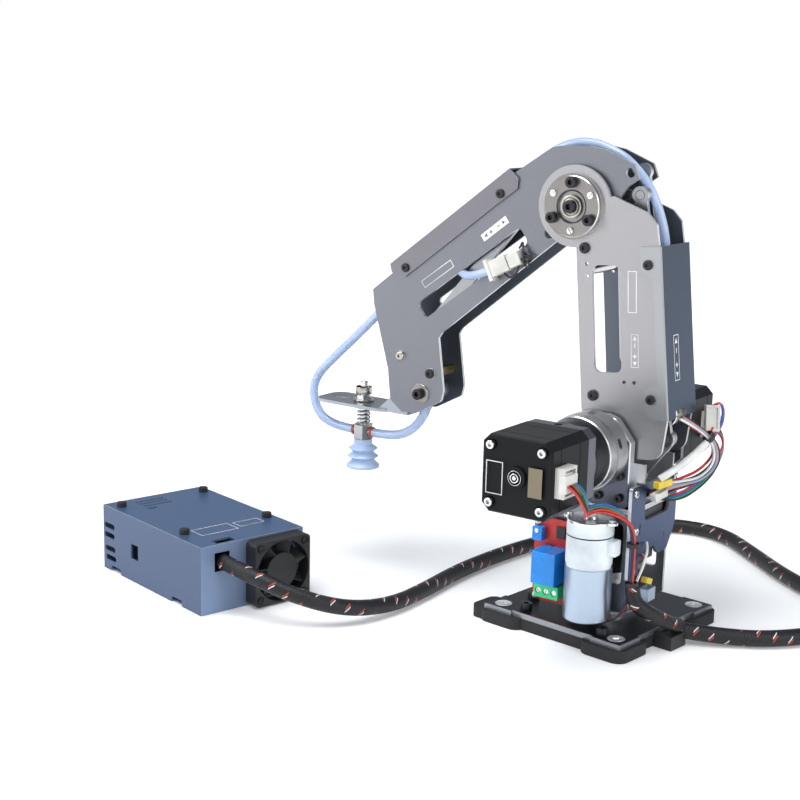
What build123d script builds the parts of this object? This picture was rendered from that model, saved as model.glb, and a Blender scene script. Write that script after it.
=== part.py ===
# Desktop robot arm with geared motors, a parallel levelling linkage and a suction cup.
# Millimetres. +X is the way the arm points at rest, +Y its near side, +Z up.
# The origin is on the waist axis at the underside of the base.
import math
import os

from build123d import *

os.makedirs("parts", exist_ok=True)

# Driving dimensions: base
BASE_YAW = -7.2
BASE_SIDE = 96.0
PAD_HEIGHT = 7.0
PLATE_THICKNESS = 3.0
EDGE_STEP = 1.4
CORNER_SCREW_SPACING = 80.0
CORNER_SCREW_RADIUS = 2.75
FLANGE_RADIUS = 24.0
FLANGE_THICKNESS = 2.5
BASE_TOP = PAD_HEIGHT + PLATE_THICKNESS

# Driving dimensions: arm geometry
SHOULDER_X = -4.0
SHOULDER_Z = 110.0
UPPER_LENGTH = 135.7
UPPER_LEAN = 10.06
FORE_LENGTH = 159.9
FORE_DROP = 49.6
CRANK_DX = -31.6
CRANK_DZ = 20.0
LEVEL_REAR_DX = -36.0
LEVEL_REAR_DZ = 8.0
LEVEL_FRONT_DX = 14.3
LEVEL_FRONT_DZ = 21.1

# Driving dimensions: sheets, shafts and fits
SHEET = 2.0
UPPER_INNER = 14.5
FORE_INNER = 10.5
COVER_SHEET = 1.5
FORE_COVER_SHEET = 1.2
PIN_RADIUS = 2.5
SHAFT_RADIUS = 4.0
FIT = 0.05
CLEAR = 0.3
ROD_THICKNESS = 3.0
LOBE_RADIUS = 4.8
PIVOT_HEAD_RADIUS = 7.0
PIVOT_HEAD_LENGTH = 3.0

# Driving dimensions: motors and gearboxes
MOTOR_SIDE = 42.3
MOTOR_LENGTH = 38.0
MOTOR_CORNER = 4.5
MOTOR_SCREW_SPACING = 31.0
NEAR_GEAR_LENGTHS = (12.0, 14.0, 20.0)
FAR_GEAR_LENGTHS = (6.0, 9.0, 12.0)
RING_RADIUS = 20.5
HOUSING_RADIUS = 22.0
MOUNT_THICKNESS = 5.5
MOUNT_HALF = 22.8
MOUNT_BOTTOM = 32.0

# Driving dimensions: turret
DECK_THICKNESS = 3.0
CHEEK_THICKNESS = 1.6
SIDE_THICKNESS = 2.0
WAIST_MOTOR_LENGTH = 37.0
WAIST_GEAR_RADIUS = 18.0
REAR_PLATE_HALF = 29.0
REAR_PLATE_RISE = 14.0
REAR_PLATE_THICKNESS = 2.0

# Driving dimensions: pump, relay, suction tool
PUMP_MOTOR_RADIUS = 13.5
PUMP_HEAD_RADIUS = 13.3
PUMP_BOTTOM = 15.0
PUMP_MOTOR_LENGTH = 31.0
PUMP_HEAD_LENGTH = 26.0
PUMP_X = -11.4
RELAY_BOARD_WIDTH = 26.0
RELAY_BOARD_HEIGHT = 50.0
TOOL_REACH = 52.6
TOOL_DROP = 13.9
TOOL_SHEET = 2.0
ROD_RADIUS = 2.6
CUP_RADIUS = 10.8
TUBE_RADIUS = 2.9
ELBOW_TUBE_RADIUS = 2.6

# Driving dimensions: control box and harness
BOX_X = 231.4
BOX_Y = 93.8
BOX_YAW = -14.25
BOX_LENGTH = 114.0
BOX_WIDTH = 73.6
BOX_HEIGHT = 41.7
BOX_SHEET = 1.2
FAN_SIDE = 40.0
FAN_DEPTH = 10.0
FAN_Y = -15.0
HARNESS_RADIUS = 4.8

# Places worked out from the sizes
UPPER_OUTER = UPPER_INNER + SHEET
FORE_OUTER = FORE_INNER + SHEET
ELBOW_X = SHOULDER_X + UPPER_LENGTH * math.sin(math.radians(UPPER_LEAN))
ELBOW_Z = SHOULDER_Z + UPPER_LENGTH * math.cos(math.radians(UPPER_LEAN))
WRIST_X = ELBOW_X + FORE_LENGTH * math.cos(math.radians(FORE_DROP))
WRIST_Z = ELBOW_Z - FORE_LENGTH * math.sin(math.radians(FORE_DROP))
CHEEK_INNER = UPPER_OUTER + 0.4
MOUNT_INNER = CHEEK_INNER + CHEEK_THICKNESS
MOUNT_OUTER = MOUNT_INNER + MOUNT_THICKNESS
DECK_TOP = SHOULDER_Z - MOUNT_BOTTOM
DECK_BOTTOM = DECK_TOP - DECK_THICKNESS
WAIST_MOTOR_BOTTOM = DECK_BOTTOM - WAIST_MOTOR_LENGTH
GEARBOX_BOTTOM = BASE_TOP + FLANGE_THICKNESS + 1.5
SIDE_INNER = MOTOR_SIDE / 2 + 0.15
SIDE_OUTER = SIDE_INNER + SIDE_THICKNESS
REAR_PLATE_X = -30.0
REAR_PLATE_TOP = DECK_TOP + REAR_PLATE_RISE
TOOL_X = WRIST_X + TOOL_REACH
TOOL_Z = WRIST_Z - TOOL_DROP


def side(y):
    """Sketch plane facing the far side, at the given Y: local axes are X and Z."""
    return Plane.XZ.offset(-y)


def level(z):
    """Horizontal sketch plane at the given height."""
    return Plane.XY.offset(z)


def behind(x):
    """Sketch plane that faces the rear, at the given X: local axes are -Y and Z."""
    return Plane(origin=(x, 0, 0), x_dir=(0, -1, 0), z_dir=(-1, 0, 0))


def base_level(z):
    """Horizontal plane turned with the base."""
    return Plane.XY.offset(z).rotated((0, 0, BASE_YAW))


def box_level(z):
    """Horizontal plane of the control box, with its origin at the box's middle."""
    yaw = math.radians(BOX_YAW)
    return Plane(origin=(BOX_X, BOX_Y, z), x_dir=(math.cos(yaw), math.sin(yaw), 0), z_dir=(0, 0, 1))


def box_end(x):
    """Upright plane across the control box: local axes are the box's Y and Z."""
    flat = box_level(0)
    return Plane(origin=flat.from_local_coords((x, 0, 0)), x_dir=flat.y_dir, z_dir=flat.x_dir)


def box_side(y):
    """Upright plane along the control box: local axes are the box's X and Z."""
    flat = box_level(0)
    return Plane(origin=flat.from_local_coords((0, y, 0)), x_dir=flat.x_dir, z_dir=-flat.y_dir)


def shoulder(dx, dz):
    return (SHOULDER_X + dx, SHOULDER_Z + dz)


def elbow(dx, dz):
    return (ELBOW_X + dx, ELBOW_Z + dz)


def wrist(dx, dz):
    return (WRIST_X + dx, WRIST_Z + dz)


def save(piece, label):
    """Label a finished piece and write its STEP file."""
    piece.part.label = label
    export_step(piece.part, f"parts/{label}.step")


# Base: rubber-footed pad, plate and fixed output flange

def make_base():
    half = BASE_SIDE / 2
    with BuildPart() as base_pad:
        with BuildSketch(base_level(0)):
            Rectangle(BASE_SIDE - 2 * EDGE_STEP, BASE_SIDE - 2 * EDGE_STEP)
            with GridLocations(BASE_SIDE - 24, BASE_SIDE - 24, 2, 2):
                RectangleRounded(30, 30, 7)
            with Locations((half - 2, half - 10), (half - 2, 10 - half)):
                RectangleRounded(24, 22, 5)
        extrude(amount=PAD_HEIGHT)
        with BuildSketch(base_level(0)):
            with GridLocations(CORNER_SCREW_SPACING, CORNER_SCREW_SPACING, 2, 2):
                Circle(CORNER_SCREW_RADIUS)
        extrude(amount=PAD_HEIGHT, mode=Mode.SUBTRACT)
    save(base_pad, "base_pad")

    with BuildPart() as base_plate:
        with BuildSketch(base_level(PAD_HEIGHT)):
            Rectangle(BASE_SIDE, BASE_SIDE)
            for turn in range(4):
                with PolarLocations(half, 1, start_angle=90 * turn):
                    Rectangle(2 * EDGE_STEP, BASE_SIDE - 40, mode=Mode.SUBTRACT)
        extrude(amount=PLATE_THICKNESS)
        chamfer(base_plate.faces().sort_by(Axis.Z)[-1].edges(), 0.5)
        with Locations(base_level(BASE_TOP)):
            with GridLocations(CORNER_SCREW_SPACING, CORNER_SCREW_SPACING, 2, 2):
                CounterSinkHole(CORNER_SCREW_RADIUS, 5.2, counter_sink_angle=90)
    save(base_plate, "base_plate")

    with BuildPart() as waist_flange:
        with BuildSketch(level(BASE_TOP)):
            Circle(FLANGE_RADIUS)
        extrude(amount=FLANGE_THICKNESS)
        chamfer(waist_flange.edges().sort_by(Axis.Z)[-1], 0.6)
        with BuildSketch(level(BASE_TOP + FLANGE_THICKNESS)):
            Circle(SHAFT_RADIUS)
        extrude(amount=14)
        with Locations(level(BASE_TOP + FLANGE_THICKNESS)):
            with PolarLocations(18, 6):
                CounterBoreHole(1.7, 3.0, 1.2)
    save(waist_flange, "waist_flange")

    clip_length = 12.0
    clip_x = EDGE_STEP - half - clip_length / 2
    with BuildPart() as harness_clip:
        with BuildSketch(base_level(0)):
            with Locations((clip_x, 5)):
                Rectangle(clip_length, 15)
        extrude(amount=HARNESS_EXIT[2])
        with BuildSketch(Plane(origin=HARNESS_EXIT, z_dir=HARNESS_DIRECTION)):
            Circle(HARNESS_RADIUS + FIT)
        extrude(amount=40, both=True, mode=Mode.SUBTRACT)
    save(harness_clip, "harness_clip")


# Harness: one braided sleeve from the base, in a loop, round to the control box

HARNESS_POINTS = [
    (-53.0, 5.0, 8.0),
    (-78.0, -8.0, 5.2),
    (-103.0, -26.0, 5.0),
    (-121.0, -54.0, 5.0),
    (-118.0, -87.0, 5.0),
    (-96.0, -112.0, 5.0),
    (-62.0, -135.0, 5.0),
    (-28.0, -166.0, 5.0),
    (6.0, -196.0, 5.0),
    (42.0, -196.0, 5.0),
    (67.0, -168.0, 5.0),
    (84.0, -130.0, 5.0),
    (98.0, -92.0, 5.0),
    (104.0, -50.0, 5.0),
    (106.0, -8.0, 5.0),
    (102.0, 34.0, 5.0),
    (101.0, 70.0, 5.6),
    (110.0, 102.0, 10.0),
    (132.0, 121.0, 18.0),
    (158.0, 130.5, 27.5),
    (181.7, 128.9, 31.0),
]
HARNESS_EXIT = HARNESS_POINTS[0]
HARNESS_DIRECTION = (-25.0, -13.0, -2.8)


def corner_radii(points, share=0.45):
    """Radius of each inner corner: a share of the shorter run over the tangent of half the turn."""
    radii = []
    for a, b, c in zip(points, points[1:], points[2:]):
        first = Vector(*b) - Vector(*a)
        second = Vector(*c) - Vector(*b)
        half_turn = math.radians(first.get_angle(second)) / 2
        radii.append(share * min(first.length, second.length) / math.tan(half_turn))
    return radii


def make_tube(label, points, radius, least=5.0):
    """A tube along straight runs joined by tangent arcs."""
    radii = corner_radii(points)
    with BuildPart() as tube:
        with BuildLine() as route:
            FilletPolyline(*points, radius=radii)
        with BuildSketch(Plane(origin=route.wires()[0] @ 0, z_dir=route.wires()[0] % 0)):
            Circle(radius)
        sweep(path=route.wires()[0])
    section = math.pi * radius**2 * route.wires()[0].length
    print(label, "least radius / diameter", round(min(radii) / radius / 2, 2),
          "volume over section x length", round(tube.part.volume / section, 4),
          "length", round(route.wires()[0].length, 1))
    save(tube, label)


# Motors and planetary gearboxes

def make_gear_motor(name, sign, lengths):
    """One shoulder motor with its gearbox; sign is +1 on the near side and -1 on the far side."""
    adapter_length, ring_length, housing_length = lengths
    housing_end = MOUNT_OUTER + housing_length
    ring_end = housing_end + ring_length
    adapter_end = ring_end + adapter_length
    motor_end = adapter_end + MOTOR_LENGTH
    axis_at = (SHOULDER_X, SHOULDER_Z)
    outermost = -1 if sign > 0 else 0

    with BuildPart() as motor:
        with BuildSketch(side(sign * adapter_end)):
            with Locations(axis_at):
                Rectangle(MOTOR_SIDE, MOTOR_SIDE)
            chamfer(vertices(), MOTOR_CORNER)
        extrude(amount=-sign * MOTOR_LENGTH)
        chamfer(motor.faces().sort_by(Axis.Y)[outermost].edges(), 0.8)
        with BuildSketch(side(sign * motor_end)):
            with Locations(axis_at):
                Circle(6.0)
        extrude(amount=-sign * 1.6)
        with BuildSketch(side(sign * (motor_end + 1.6))):
            with Locations(axis_at):
                Circle(3.4)
        extrude(amount=sign * 1.4, mode=Mode.SUBTRACT)
        with BuildSketch(side(sign * motor_end)):
            with Locations(axis_at):
                with GridLocations(MOTOR_SCREW_SPACING, MOTOR_SCREW_SPACING, 2, 2):
                    Circle(3.2)
        extrude(amount=sign * 1.2, mode=Mode.SUBTRACT)
        for inset in (9.0, 29.0):
            with BuildSketch(side(sign * (adapter_end + inset))):
                with Locations(axis_at):
                    Rectangle(MOTOR_SIDE + 1, MOTOR_SIDE + 1)
                    Rectangle(MOTOR_SIDE - 0.8, MOTOR_SIDE - 0.8, mode=Mode.SUBTRACT)
            extrude(amount=-sign * 0.5, mode=Mode.SUBTRACT)
    save(motor, f"motor_{name}")

    with BuildPart() as adapter:
        with BuildSketch(side(sign * ring_end)):
            with Locations(axis_at):
                Circle(RING_RADIUS - 0.5)
        extrude(amount=-sign * adapter_length / 3)
        with BuildSketch(side(sign * (ring_end + adapter_length / 3))):
            with Locations(axis_at):
                Rectangle(MOTOR_SIDE - 0.3, MOTOR_SIDE - 0.3)
            chamfer(vertices(), MOTOR_CORNER)
        extrude(amount=-sign * adapter_length * 2 / 3)
        with BuildSketch(level(SHOULDER_Z + MOTOR_SIDE / 2)):
            with Locations((SHOULDER_X, sign * (adapter_end - adapter_length / 3))):
                Circle(min(3.0, adapter_length / 5))
        extrude(amount=-9, mode=Mode.SUBTRACT)
    save(adapter, f"gear_adapter_{name}")

    with BuildPart() as ring:
        with BuildSketch(side(sign * housing_end)):
            with Locations(axis_at):
                Circle(RING_RADIUS)
        extrude(amount=-sign * ring_length)
        chamfer(ring.edges().filter_by(GeomType.CIRCLE), 0.4)
    save(ring, f"gear_ring_{name}")

    with BuildPart() as housing:
        with BuildSketch(side(sign * MOUNT_OUTER)):
            with Locations(axis_at):
                Circle(HOUSING_RADIUS)
        extrude(amount=-sign * housing_length * 0.6)
        with BuildSketch(side(sign * (MOUNT_OUTER + housing_length * 0.6))):
            with Locations(axis_at):
                Circle(HOUSING_RADIUS - 0.7)
        extrude(amount=-sign * housing_length * 0.4)
        chamfer(housing.edges().filter_by(GeomType.CIRCLE).sort_by(Axis.Y)[outermost], 0.6)
        with BuildSketch(side(sign * MOUNT_OUTER)):
            with Locations(axis_at):
                Circle(SHAFT_RADIUS + 4)
        extrude(amount=sign * (MOUNT_THICKNESS - 0.5))
        with BuildSketch(side(sign * MOUNT_OUTER)):
            with Locations(axis_at):
                Circle(SHAFT_RADIUS + FIT)
        extrude(amount=-sign * 8, mode=Mode.SUBTRACT)
        with BuildSketch(side(sign * (MOUNT_OUTER - MOUNT_THICKNESS))):
            with Locations(axis_at):
                Circle(SHAFT_RADIUS + FIT)
        extrude(amount=-sign * (MOUNT_THICKNESS + 8), mode=Mode.SUBTRACT)
        slot_y = sign * (MOUNT_OUTER + housing_length * 0.45)
        slot_plane = Plane(origin=(SHOULDER_X, slot_y, SHOULDER_Z), x_dir=(0, 1, 0), z_dir=(-0.94, 0, 0.34))
        with BuildSketch(slot_plane.offset(HOUSING_RADIUS + 1)):
            RectangleRounded(3.6, 6.0, 0.8)
        extrude(amount=-4, mode=Mode.SUBTRACT)
    save(housing, f"gear_housing_{name}")
    return motor_end


def make_sockets(near_end, far_end):
    """White lead sockets on the rear side of the two shoulder motors."""
    with BuildPart() as motor_sockets:
        for middle in (-(near_end - 9.5), far_end - 9.5):
            with BuildSketch(behind(SHOULDER_X - MOTOR_SIDE / 2)):
                with Locations((middle, SHOULDER_Z)):
                    Rectangle(13, 16)
            extrude(amount=5.5)
            with BuildSketch(behind(SHOULDER_X - MOTOR_SIDE / 2 - 5.5)):
                with Locations((middle, SHOULDER_Z)):
                    Rectangle(10, 13.4)
            extrude(amount=-3.5, mode=Mode.SUBTRACT)
    save(motor_sockets, "motor_sockets")


def make_mount_plate(name, sign):
    """Octagonal plate between a gearbox and the turret."""
    half = MOUNT_HALF
    inner = sign * MOUNT_INNER
    outermost = -1 if sign > 0 else 0
    with BuildPart() as mount:
        with BuildSketch(side(inner)):
            with BuildLine():
                Polyline(
                    shoulder(-half, 6.3), shoulder(-half + 10, 18.4), shoulder(-7, half - 2.8),
                    shoulder(7, half - 2.8), shoulder(half - 10, 18.4), shoulder(half, 6.3),
                    shoulder(half, -MOUNT_BOTTOM), shoulder(-half, -MOUNT_BOTTOM),
                    close=True,
                )
            make_face()
            fillet(vertices().group_by(Axis.Y)[0], 4)
        extrude(amount=-sign * MOUNT_THICKNESS)
        chamfer(mount.faces().sort_by(Axis.Y)[outermost].edges(), 0.6)
        with BuildSketch(side(inner)):
            with Locations(shoulder(0, 0)):
                Circle(SHAFT_RADIUS + 4 + FIT)
        extrude(amount=-sign * MOUNT_THICKNESS, mode=Mode.SUBTRACT)
        with BuildSketch(side(sign * MOUNT_OUTER)):
            with Locations(shoulder(-17.5, -13.6), shoulder(-17.6, -26), shoulder(-4.7, -26.5)):
                Circle(1.6)
            with Locations(shoulder(17.5, -13.6), shoulder(17.6, -26), shoulder(4.7, -26.5)):
                Circle(1.6)
        extrude(amount=sign * MOUNT_THICKNESS, mode=Mode.SUBTRACT)
    save(mount, f"mount_plate_{name}")


# Turret: waist motor, sheet frame, pump and relay

def make_turret():
    with BuildPart() as waist_gearbox:
        with BuildSketch(level(GEARBOX_BOTTOM)):
            Circle(WAIST_GEAR_RADIUS)
        extrude(amount=WAIST_MOTOR_BOTTOM - GEARBOX_BOTTOM - 4)
        chamfer(waist_gearbox.edges().sort_by(Axis.Z)[0], 0.6)
        with BuildSketch(level(GEARBOX_BOTTOM + 12)):
            Circle(WAIST_GEAR_RADIUS + 1)
            Circle(WAIST_GEAR_RADIUS - 0.8, mode=Mode.SUBTRACT)
        extrude(amount=0.8, mode=Mode.SUBTRACT)
        with BuildSketch(level(WAIST_MOTOR_BOTTOM - 4)):
            Rectangle(MOTOR_SIDE - 0.3, MOTOR_SIDE - 0.3)
            chamfer(vertices(), MOTOR_CORNER)
        extrude(amount=4)
        with BuildSketch(level(GEARBOX_BOTTOM)):
            Circle(SHAFT_RADIUS + FIT)
        extrude(amount=13.5, mode=Mode.SUBTRACT)
    save(waist_gearbox, "waist_gearbox")

    with BuildPart() as waist_motor:
        with BuildSketch(level(WAIST_MOTOR_BOTTOM)):
            Rectangle(MOTOR_SIDE, MOTOR_SIDE)
            chamfer(vertices(), MOTOR_CORNER)
        extrude(amount=WAIST_MOTOR_LENGTH)
        for inset in (9.0, 28.0):
            with BuildSketch(level(WAIST_MOTOR_BOTTOM + inset)):
                Rectangle(MOTOR_SIDE + 1, MOTOR_SIDE + 1)
                Rectangle(MOTOR_SIDE - 0.8, MOTOR_SIDE - 0.8, mode=Mode.SUBTRACT)
            extrude(amount=0.5, mode=Mode.SUBTRACT)
    save(waist_motor, "waist_motor")

    post_y = 5.0
    pin_at = shoulder(LEVEL_REAR_DX, LEVEL_REAR_DZ)
    with BuildPart() as turret_deck:
        with BuildSketch(level(DECK_BOTTOM)):
            with Locations((-3, 0)):
                RectangleRounded(54, 2 * MOUNT_OUTER, 2)
        extrude(amount=DECK_THICKNESS)
        for y in (CHEEK_INNER + CHEEK_THICKNESS, -CHEEK_INNER):
            with BuildSketch(side(y)):
                with BuildLine():
                    Polyline(
                        (-34, DECK_BOTTOM + 18), (-34, SHOULDER_Z - 6), (-16, SHOULDER_Z - 6),
                        (-16, SHOULDER_Z - 18), (16, SHOULDER_Z - 18),
                        (16, DECK_TOP), (-29, DECK_TOP), (-29, DECK_BOTTOM + 18),
                        close=True,
                    )
                make_face()
                with Locations((-13, SHOULDER_Z - 6)):
                    Rectangle(6, 24)
            extrude(amount=CHEEK_THICKNESS)
        with BuildSketch(side(post_y)):
            with BuildLine():
                Polyline(
                    (-14, DECK_TOP), (-28, DECK_TOP), (-28, DECK_TOP + 17), (pin_at[0] - 3, pin_at[1] - 4),
                    (pin_at[0] + 3, pin_at[1] + 4), (-16, SHOULDER_Z - 10),
                    close=True,
                )
            make_face()
            with Locations(pin_at):
                Circle(LOBE_RADIUS)
        extrude(amount=2)
        with BuildSketch(side(post_y)):
            with Locations(pin_at):
                Circle(PIN_RADIUS)
        extrude(amount=-(CLEAR + ROD_THICKNESS))
    save(turret_deck, "turret_deck")

    for name, sign in (("near", 1), ("far", -1)):
        with BuildPart() as side_plate:
            with BuildSketch(side(sign * SIDE_INNER)):
                with Locations((-1, (GEARBOX_BOTTOM + 3 + DECK_BOTTOM) / 2)):
                    RectangleRounded(58, DECK_BOTTOM - GEARBOX_BOTTOM - 3, 3)
                with Locations((-15, 51)):
                    RectangleRounded(20, 36, 3, mode=Mode.SUBTRACT)
                with Locations((14, 26)):
                    RectangleRounded(12, 10, 3, mode=Mode.SUBTRACT)
            extrude(amount=-sign * SIDE_THICKNESS)
        save(side_plate, f"side_plate_{name}")
        make_mount_plate(name, sign)

    half = REAR_PLATE_HALF
    with BuildPart() as rear_plate:
        with BuildSketch(behind(REAR_PLATE_X)):
            with BuildLine():
                Polyline(
                    (-half, REAR_PLATE_TOP), (-half, 39), (-16.5, 39), (-16.5, 47), (-12, 52), (2, 52),
                    (8, 46), (19, 46), (27, 57), (half, 62), (half, REAR_PLATE_TOP),
                    close=True,
                )
            make_face()
            fillet(vertices().group_by(Axis.Y)[-1], 2)
            fillet(vertices().filter_by_position(Axis.X, 7, 20).group_by(Axis.Y)[0], 2.5)
            with Locations((4, DECK_TOP)):
                RectangleRounded(32, 17, 4, mode=Mode.SUBTRACT)
            with Locations((-17, DECK_TOP - 12)):
                Rectangle(1.6, 6, mode=Mode.SUBTRACT)
            with Locations((14, 55)):
                Rectangle(1.6, 6, rotation=-25, mode=Mode.SUBTRACT)
            with Locations((-22.5, 57), (-22.5, 45)):
                Circle(1.0, mode=Mode.SUBTRACT)
        extrude(amount=REAR_PLATE_THICKNESS)
    save(rear_plate, "rear_plate")

    switch_depth = 6.2
    with BuildPart() as limit_switch:
        with BuildSketch(behind(REAR_PLATE_X)):
            with Locations((-5, 50)):
                Rectangle(20, 10.5)
        extrude(amount=-switch_depth)
        with BuildSketch(behind(REAR_PLATE_X + 1.5)):
            with Locations((-5, 43.2)):
                Rectangle(16, 0.6, rotation=6)
        extrude(amount=-3.4)
        with BuildSketch(behind(REAR_PLATE_X + 1.5)):
            with Locations((-9, 44.2)):
                Rectangle(1.6, 2.6)
        extrude(amount=-3.4)
    save(limit_switch, "limit_switch")


def make_pump():
    pump_y = SIDE_OUTER + CLEAR + PUMP_MOTOR_RADIUS
    head_bottom = PUMP_BOTTOM + PUMP_MOTOR_LENGTH
    head_top = head_bottom + PUMP_HEAD_LENGTH
    with BuildPart() as pump_motor:
        with BuildSketch(level(PUMP_BOTTOM)):
            with Locations((PUMP_X, pump_y)):
                Circle(PUMP_MOTOR_RADIUS)
        extrude(amount=PUMP_MOTOR_LENGTH)
        fillet(pump_motor.edges().sort_by(Axis.Z)[0], 1.2)
        with BuildSketch(level(PUMP_BOTTOM)):
            with Locations((PUMP_X, pump_y)):
                Circle(3.2)
        extrude(amount=1.0, mode=Mode.SUBTRACT)
    save(pump_motor, "pump_motor")

    with BuildPart() as pump_head:
        with BuildSketch(level(head_bottom)):
            with Locations((PUMP_X, pump_y)):
                Circle(PUMP_HEAD_RADIUS - 0.6)
        extrude(amount=2)
        with BuildSketch(level(head_bottom + 2)):
            with Locations((PUMP_X, pump_y)):
                Circle(PUMP_HEAD_RADIUS)
        extrude(amount=PUMP_HEAD_LENGTH - 2)
        with BuildSketch(level(head_top - 8)):
            with Locations((PUMP_X, pump_y)):
                Circle(PUMP_HEAD_RADIUS + 1)
                Circle(PUMP_HEAD_RADIUS - 0.5, mode=Mode.SUBTRACT)
        extrude(amount=0.8, mode=Mode.SUBTRACT)
        boss = Plane(origin=(PUMP_X, pump_y, head_top - 13), x_dir=(0, 1, 0), z_dir=(-1, 0, 0))
        with BuildSketch(boss):
            RectangleRounded(8, 9, 1.5)
        extrude(amount=PUMP_HEAD_RADIUS + 4)
    save(pump_head, "pump_head")

    with BuildPart() as pump_cap:
        with BuildSketch(level(head_top)):
            with Locations((PUMP_X, pump_y)):
                Circle(PUMP_HEAD_RADIUS)
                with PolarLocations(PUMP_HEAD_RADIUS, 2, start_angle=0):
                    Circle(3.4)
        extrude(amount=1.6)
        fillet(pump_cap.edges().group_by(Axis.Z)[-1], 0.5)
        with Locations(level(head_top + 1.6)):
            with Locations((PUMP_X, pump_y)):
                with PolarLocations(PUMP_HEAD_RADIUS, 2, start_angle=0):
                    Hole(1.3)
        with BuildSketch(level(head_top + 1.6)):
            with Locations((PUMP_X, pump_y)):
                Circle(4.2)
        extrude(amount=1.2, taper=25)
        with BuildSketch(level(head_top + 2.6)):
            with Locations((PUMP_X, pump_y)):
                Circle(2.1)
        extrude(amount=6)
    save(pump_cap, "pump_cap")


def make_relay():
    board_y = SIDE_OUTER + 3
    left = RELAY_BOARD_WIDTH + 3.5
    bottom = PUMP_BOTTOM
    middle = left - RELAY_BOARD_WIDTH / 2
    with BuildPart() as relay_board:
        with BuildSketch(side(board_y + 1.6)):
            with Locations((middle, bottom + RELAY_BOARD_HEIGHT / 2)):
                RectangleRounded(RELAY_BOARD_WIDTH, RELAY_BOARD_HEIGHT, 1)
        extrude(amount=1.6)
        with BuildSketch(side(board_y)):
            with Locations((middle, bottom + RELAY_BOARD_HEIGHT / 2)):
                with GridLocations(RELAY_BOARD_WIDTH - 5, RELAY_BOARD_HEIGHT - 5, 2, 2):
                    Circle(2.2)
        extrude(amount=3)
        with BuildSketch(side(board_y + 1.6)):
            with Locations((middle, bottom + RELAY_BOARD_HEIGHT / 2)):
                with GridLocations(RELAY_BOARD_WIDTH - 5, RELAY_BOARD_HEIGHT - 5, 2, 2):
                    Circle(1.5)
        extrude(amount=1.2, mode=Mode.SUBTRACT)
    save(relay_board, "relay_board")

    with BuildPart() as relay:
        with BuildSketch(side(board_y + 1.6)):
            with Locations((14.8, bottom + 24.5)):
                Rectangle(15.4, 19.2)
        extrude(amount=-15.3)
        fillet(relay.faces().sort_by(Axis.Y)[-1].edges(), 0.6)
    save(relay, "relay")

    with BuildPart() as relay_terminal:
        with BuildSketch(side(board_y + 1.6)):
            with Locations((14.8, bottom + 9.5)):
                Rectangle(15.6, 7.6)
        extrude(amount=-10.5)
        with BuildSketch(side(board_y + 12.1)):
            with Locations((14.8, bottom + 9.5)):
                with GridLocations(5.08, 1, 3, 1):
                    Circle(1.9)
        extrude(amount=1.5, mode=Mode.SUBTRACT)
        with BuildSketch(level(bottom + 5.7)):
            with Locations((14.8, board_y + 6.5)):
                with GridLocations(5.08, 1, 3, 1):
                    Rectangle(3.4, 4)
        extrude(amount=2.5, mode=Mode.SUBTRACT)
    save(relay_terminal, "relay_terminal")


# Upper arm: two slotted plates, a rear channel cover and the elbow discs

UPPER_SLOT_LEAN = 4.6


def upper_plate_outline():
    """Outline of an upper-arm plate in the current sketch."""
    with BuildLine() as outline:
        Polyline(
            shoulder(13.1, 19.6), elbow(-2.4, -22.4), elbow(0, 0), elbow(-24.0, 7.0),
            elbow(-45.3, -0.7), elbow(-51.0, -6.6), elbow(-53.0, -17.6),
            shoulder(-40.3, 20.5), shoulder(-37.5, -2.6), shoulder(-16, -5), shoulder(0, -5),
            close=True,
        )
    make_face(outline.edges())
    fillet(vertices().filter_by_position(Axis.Y, SHOULDER_Z - 3, SHOULDER_Z - 2), 8)
    with Locations(shoulder(0, 0)):
        Circle(18)
    with Locations(elbow(0, 0)):
        Circle(22.9)


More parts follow.
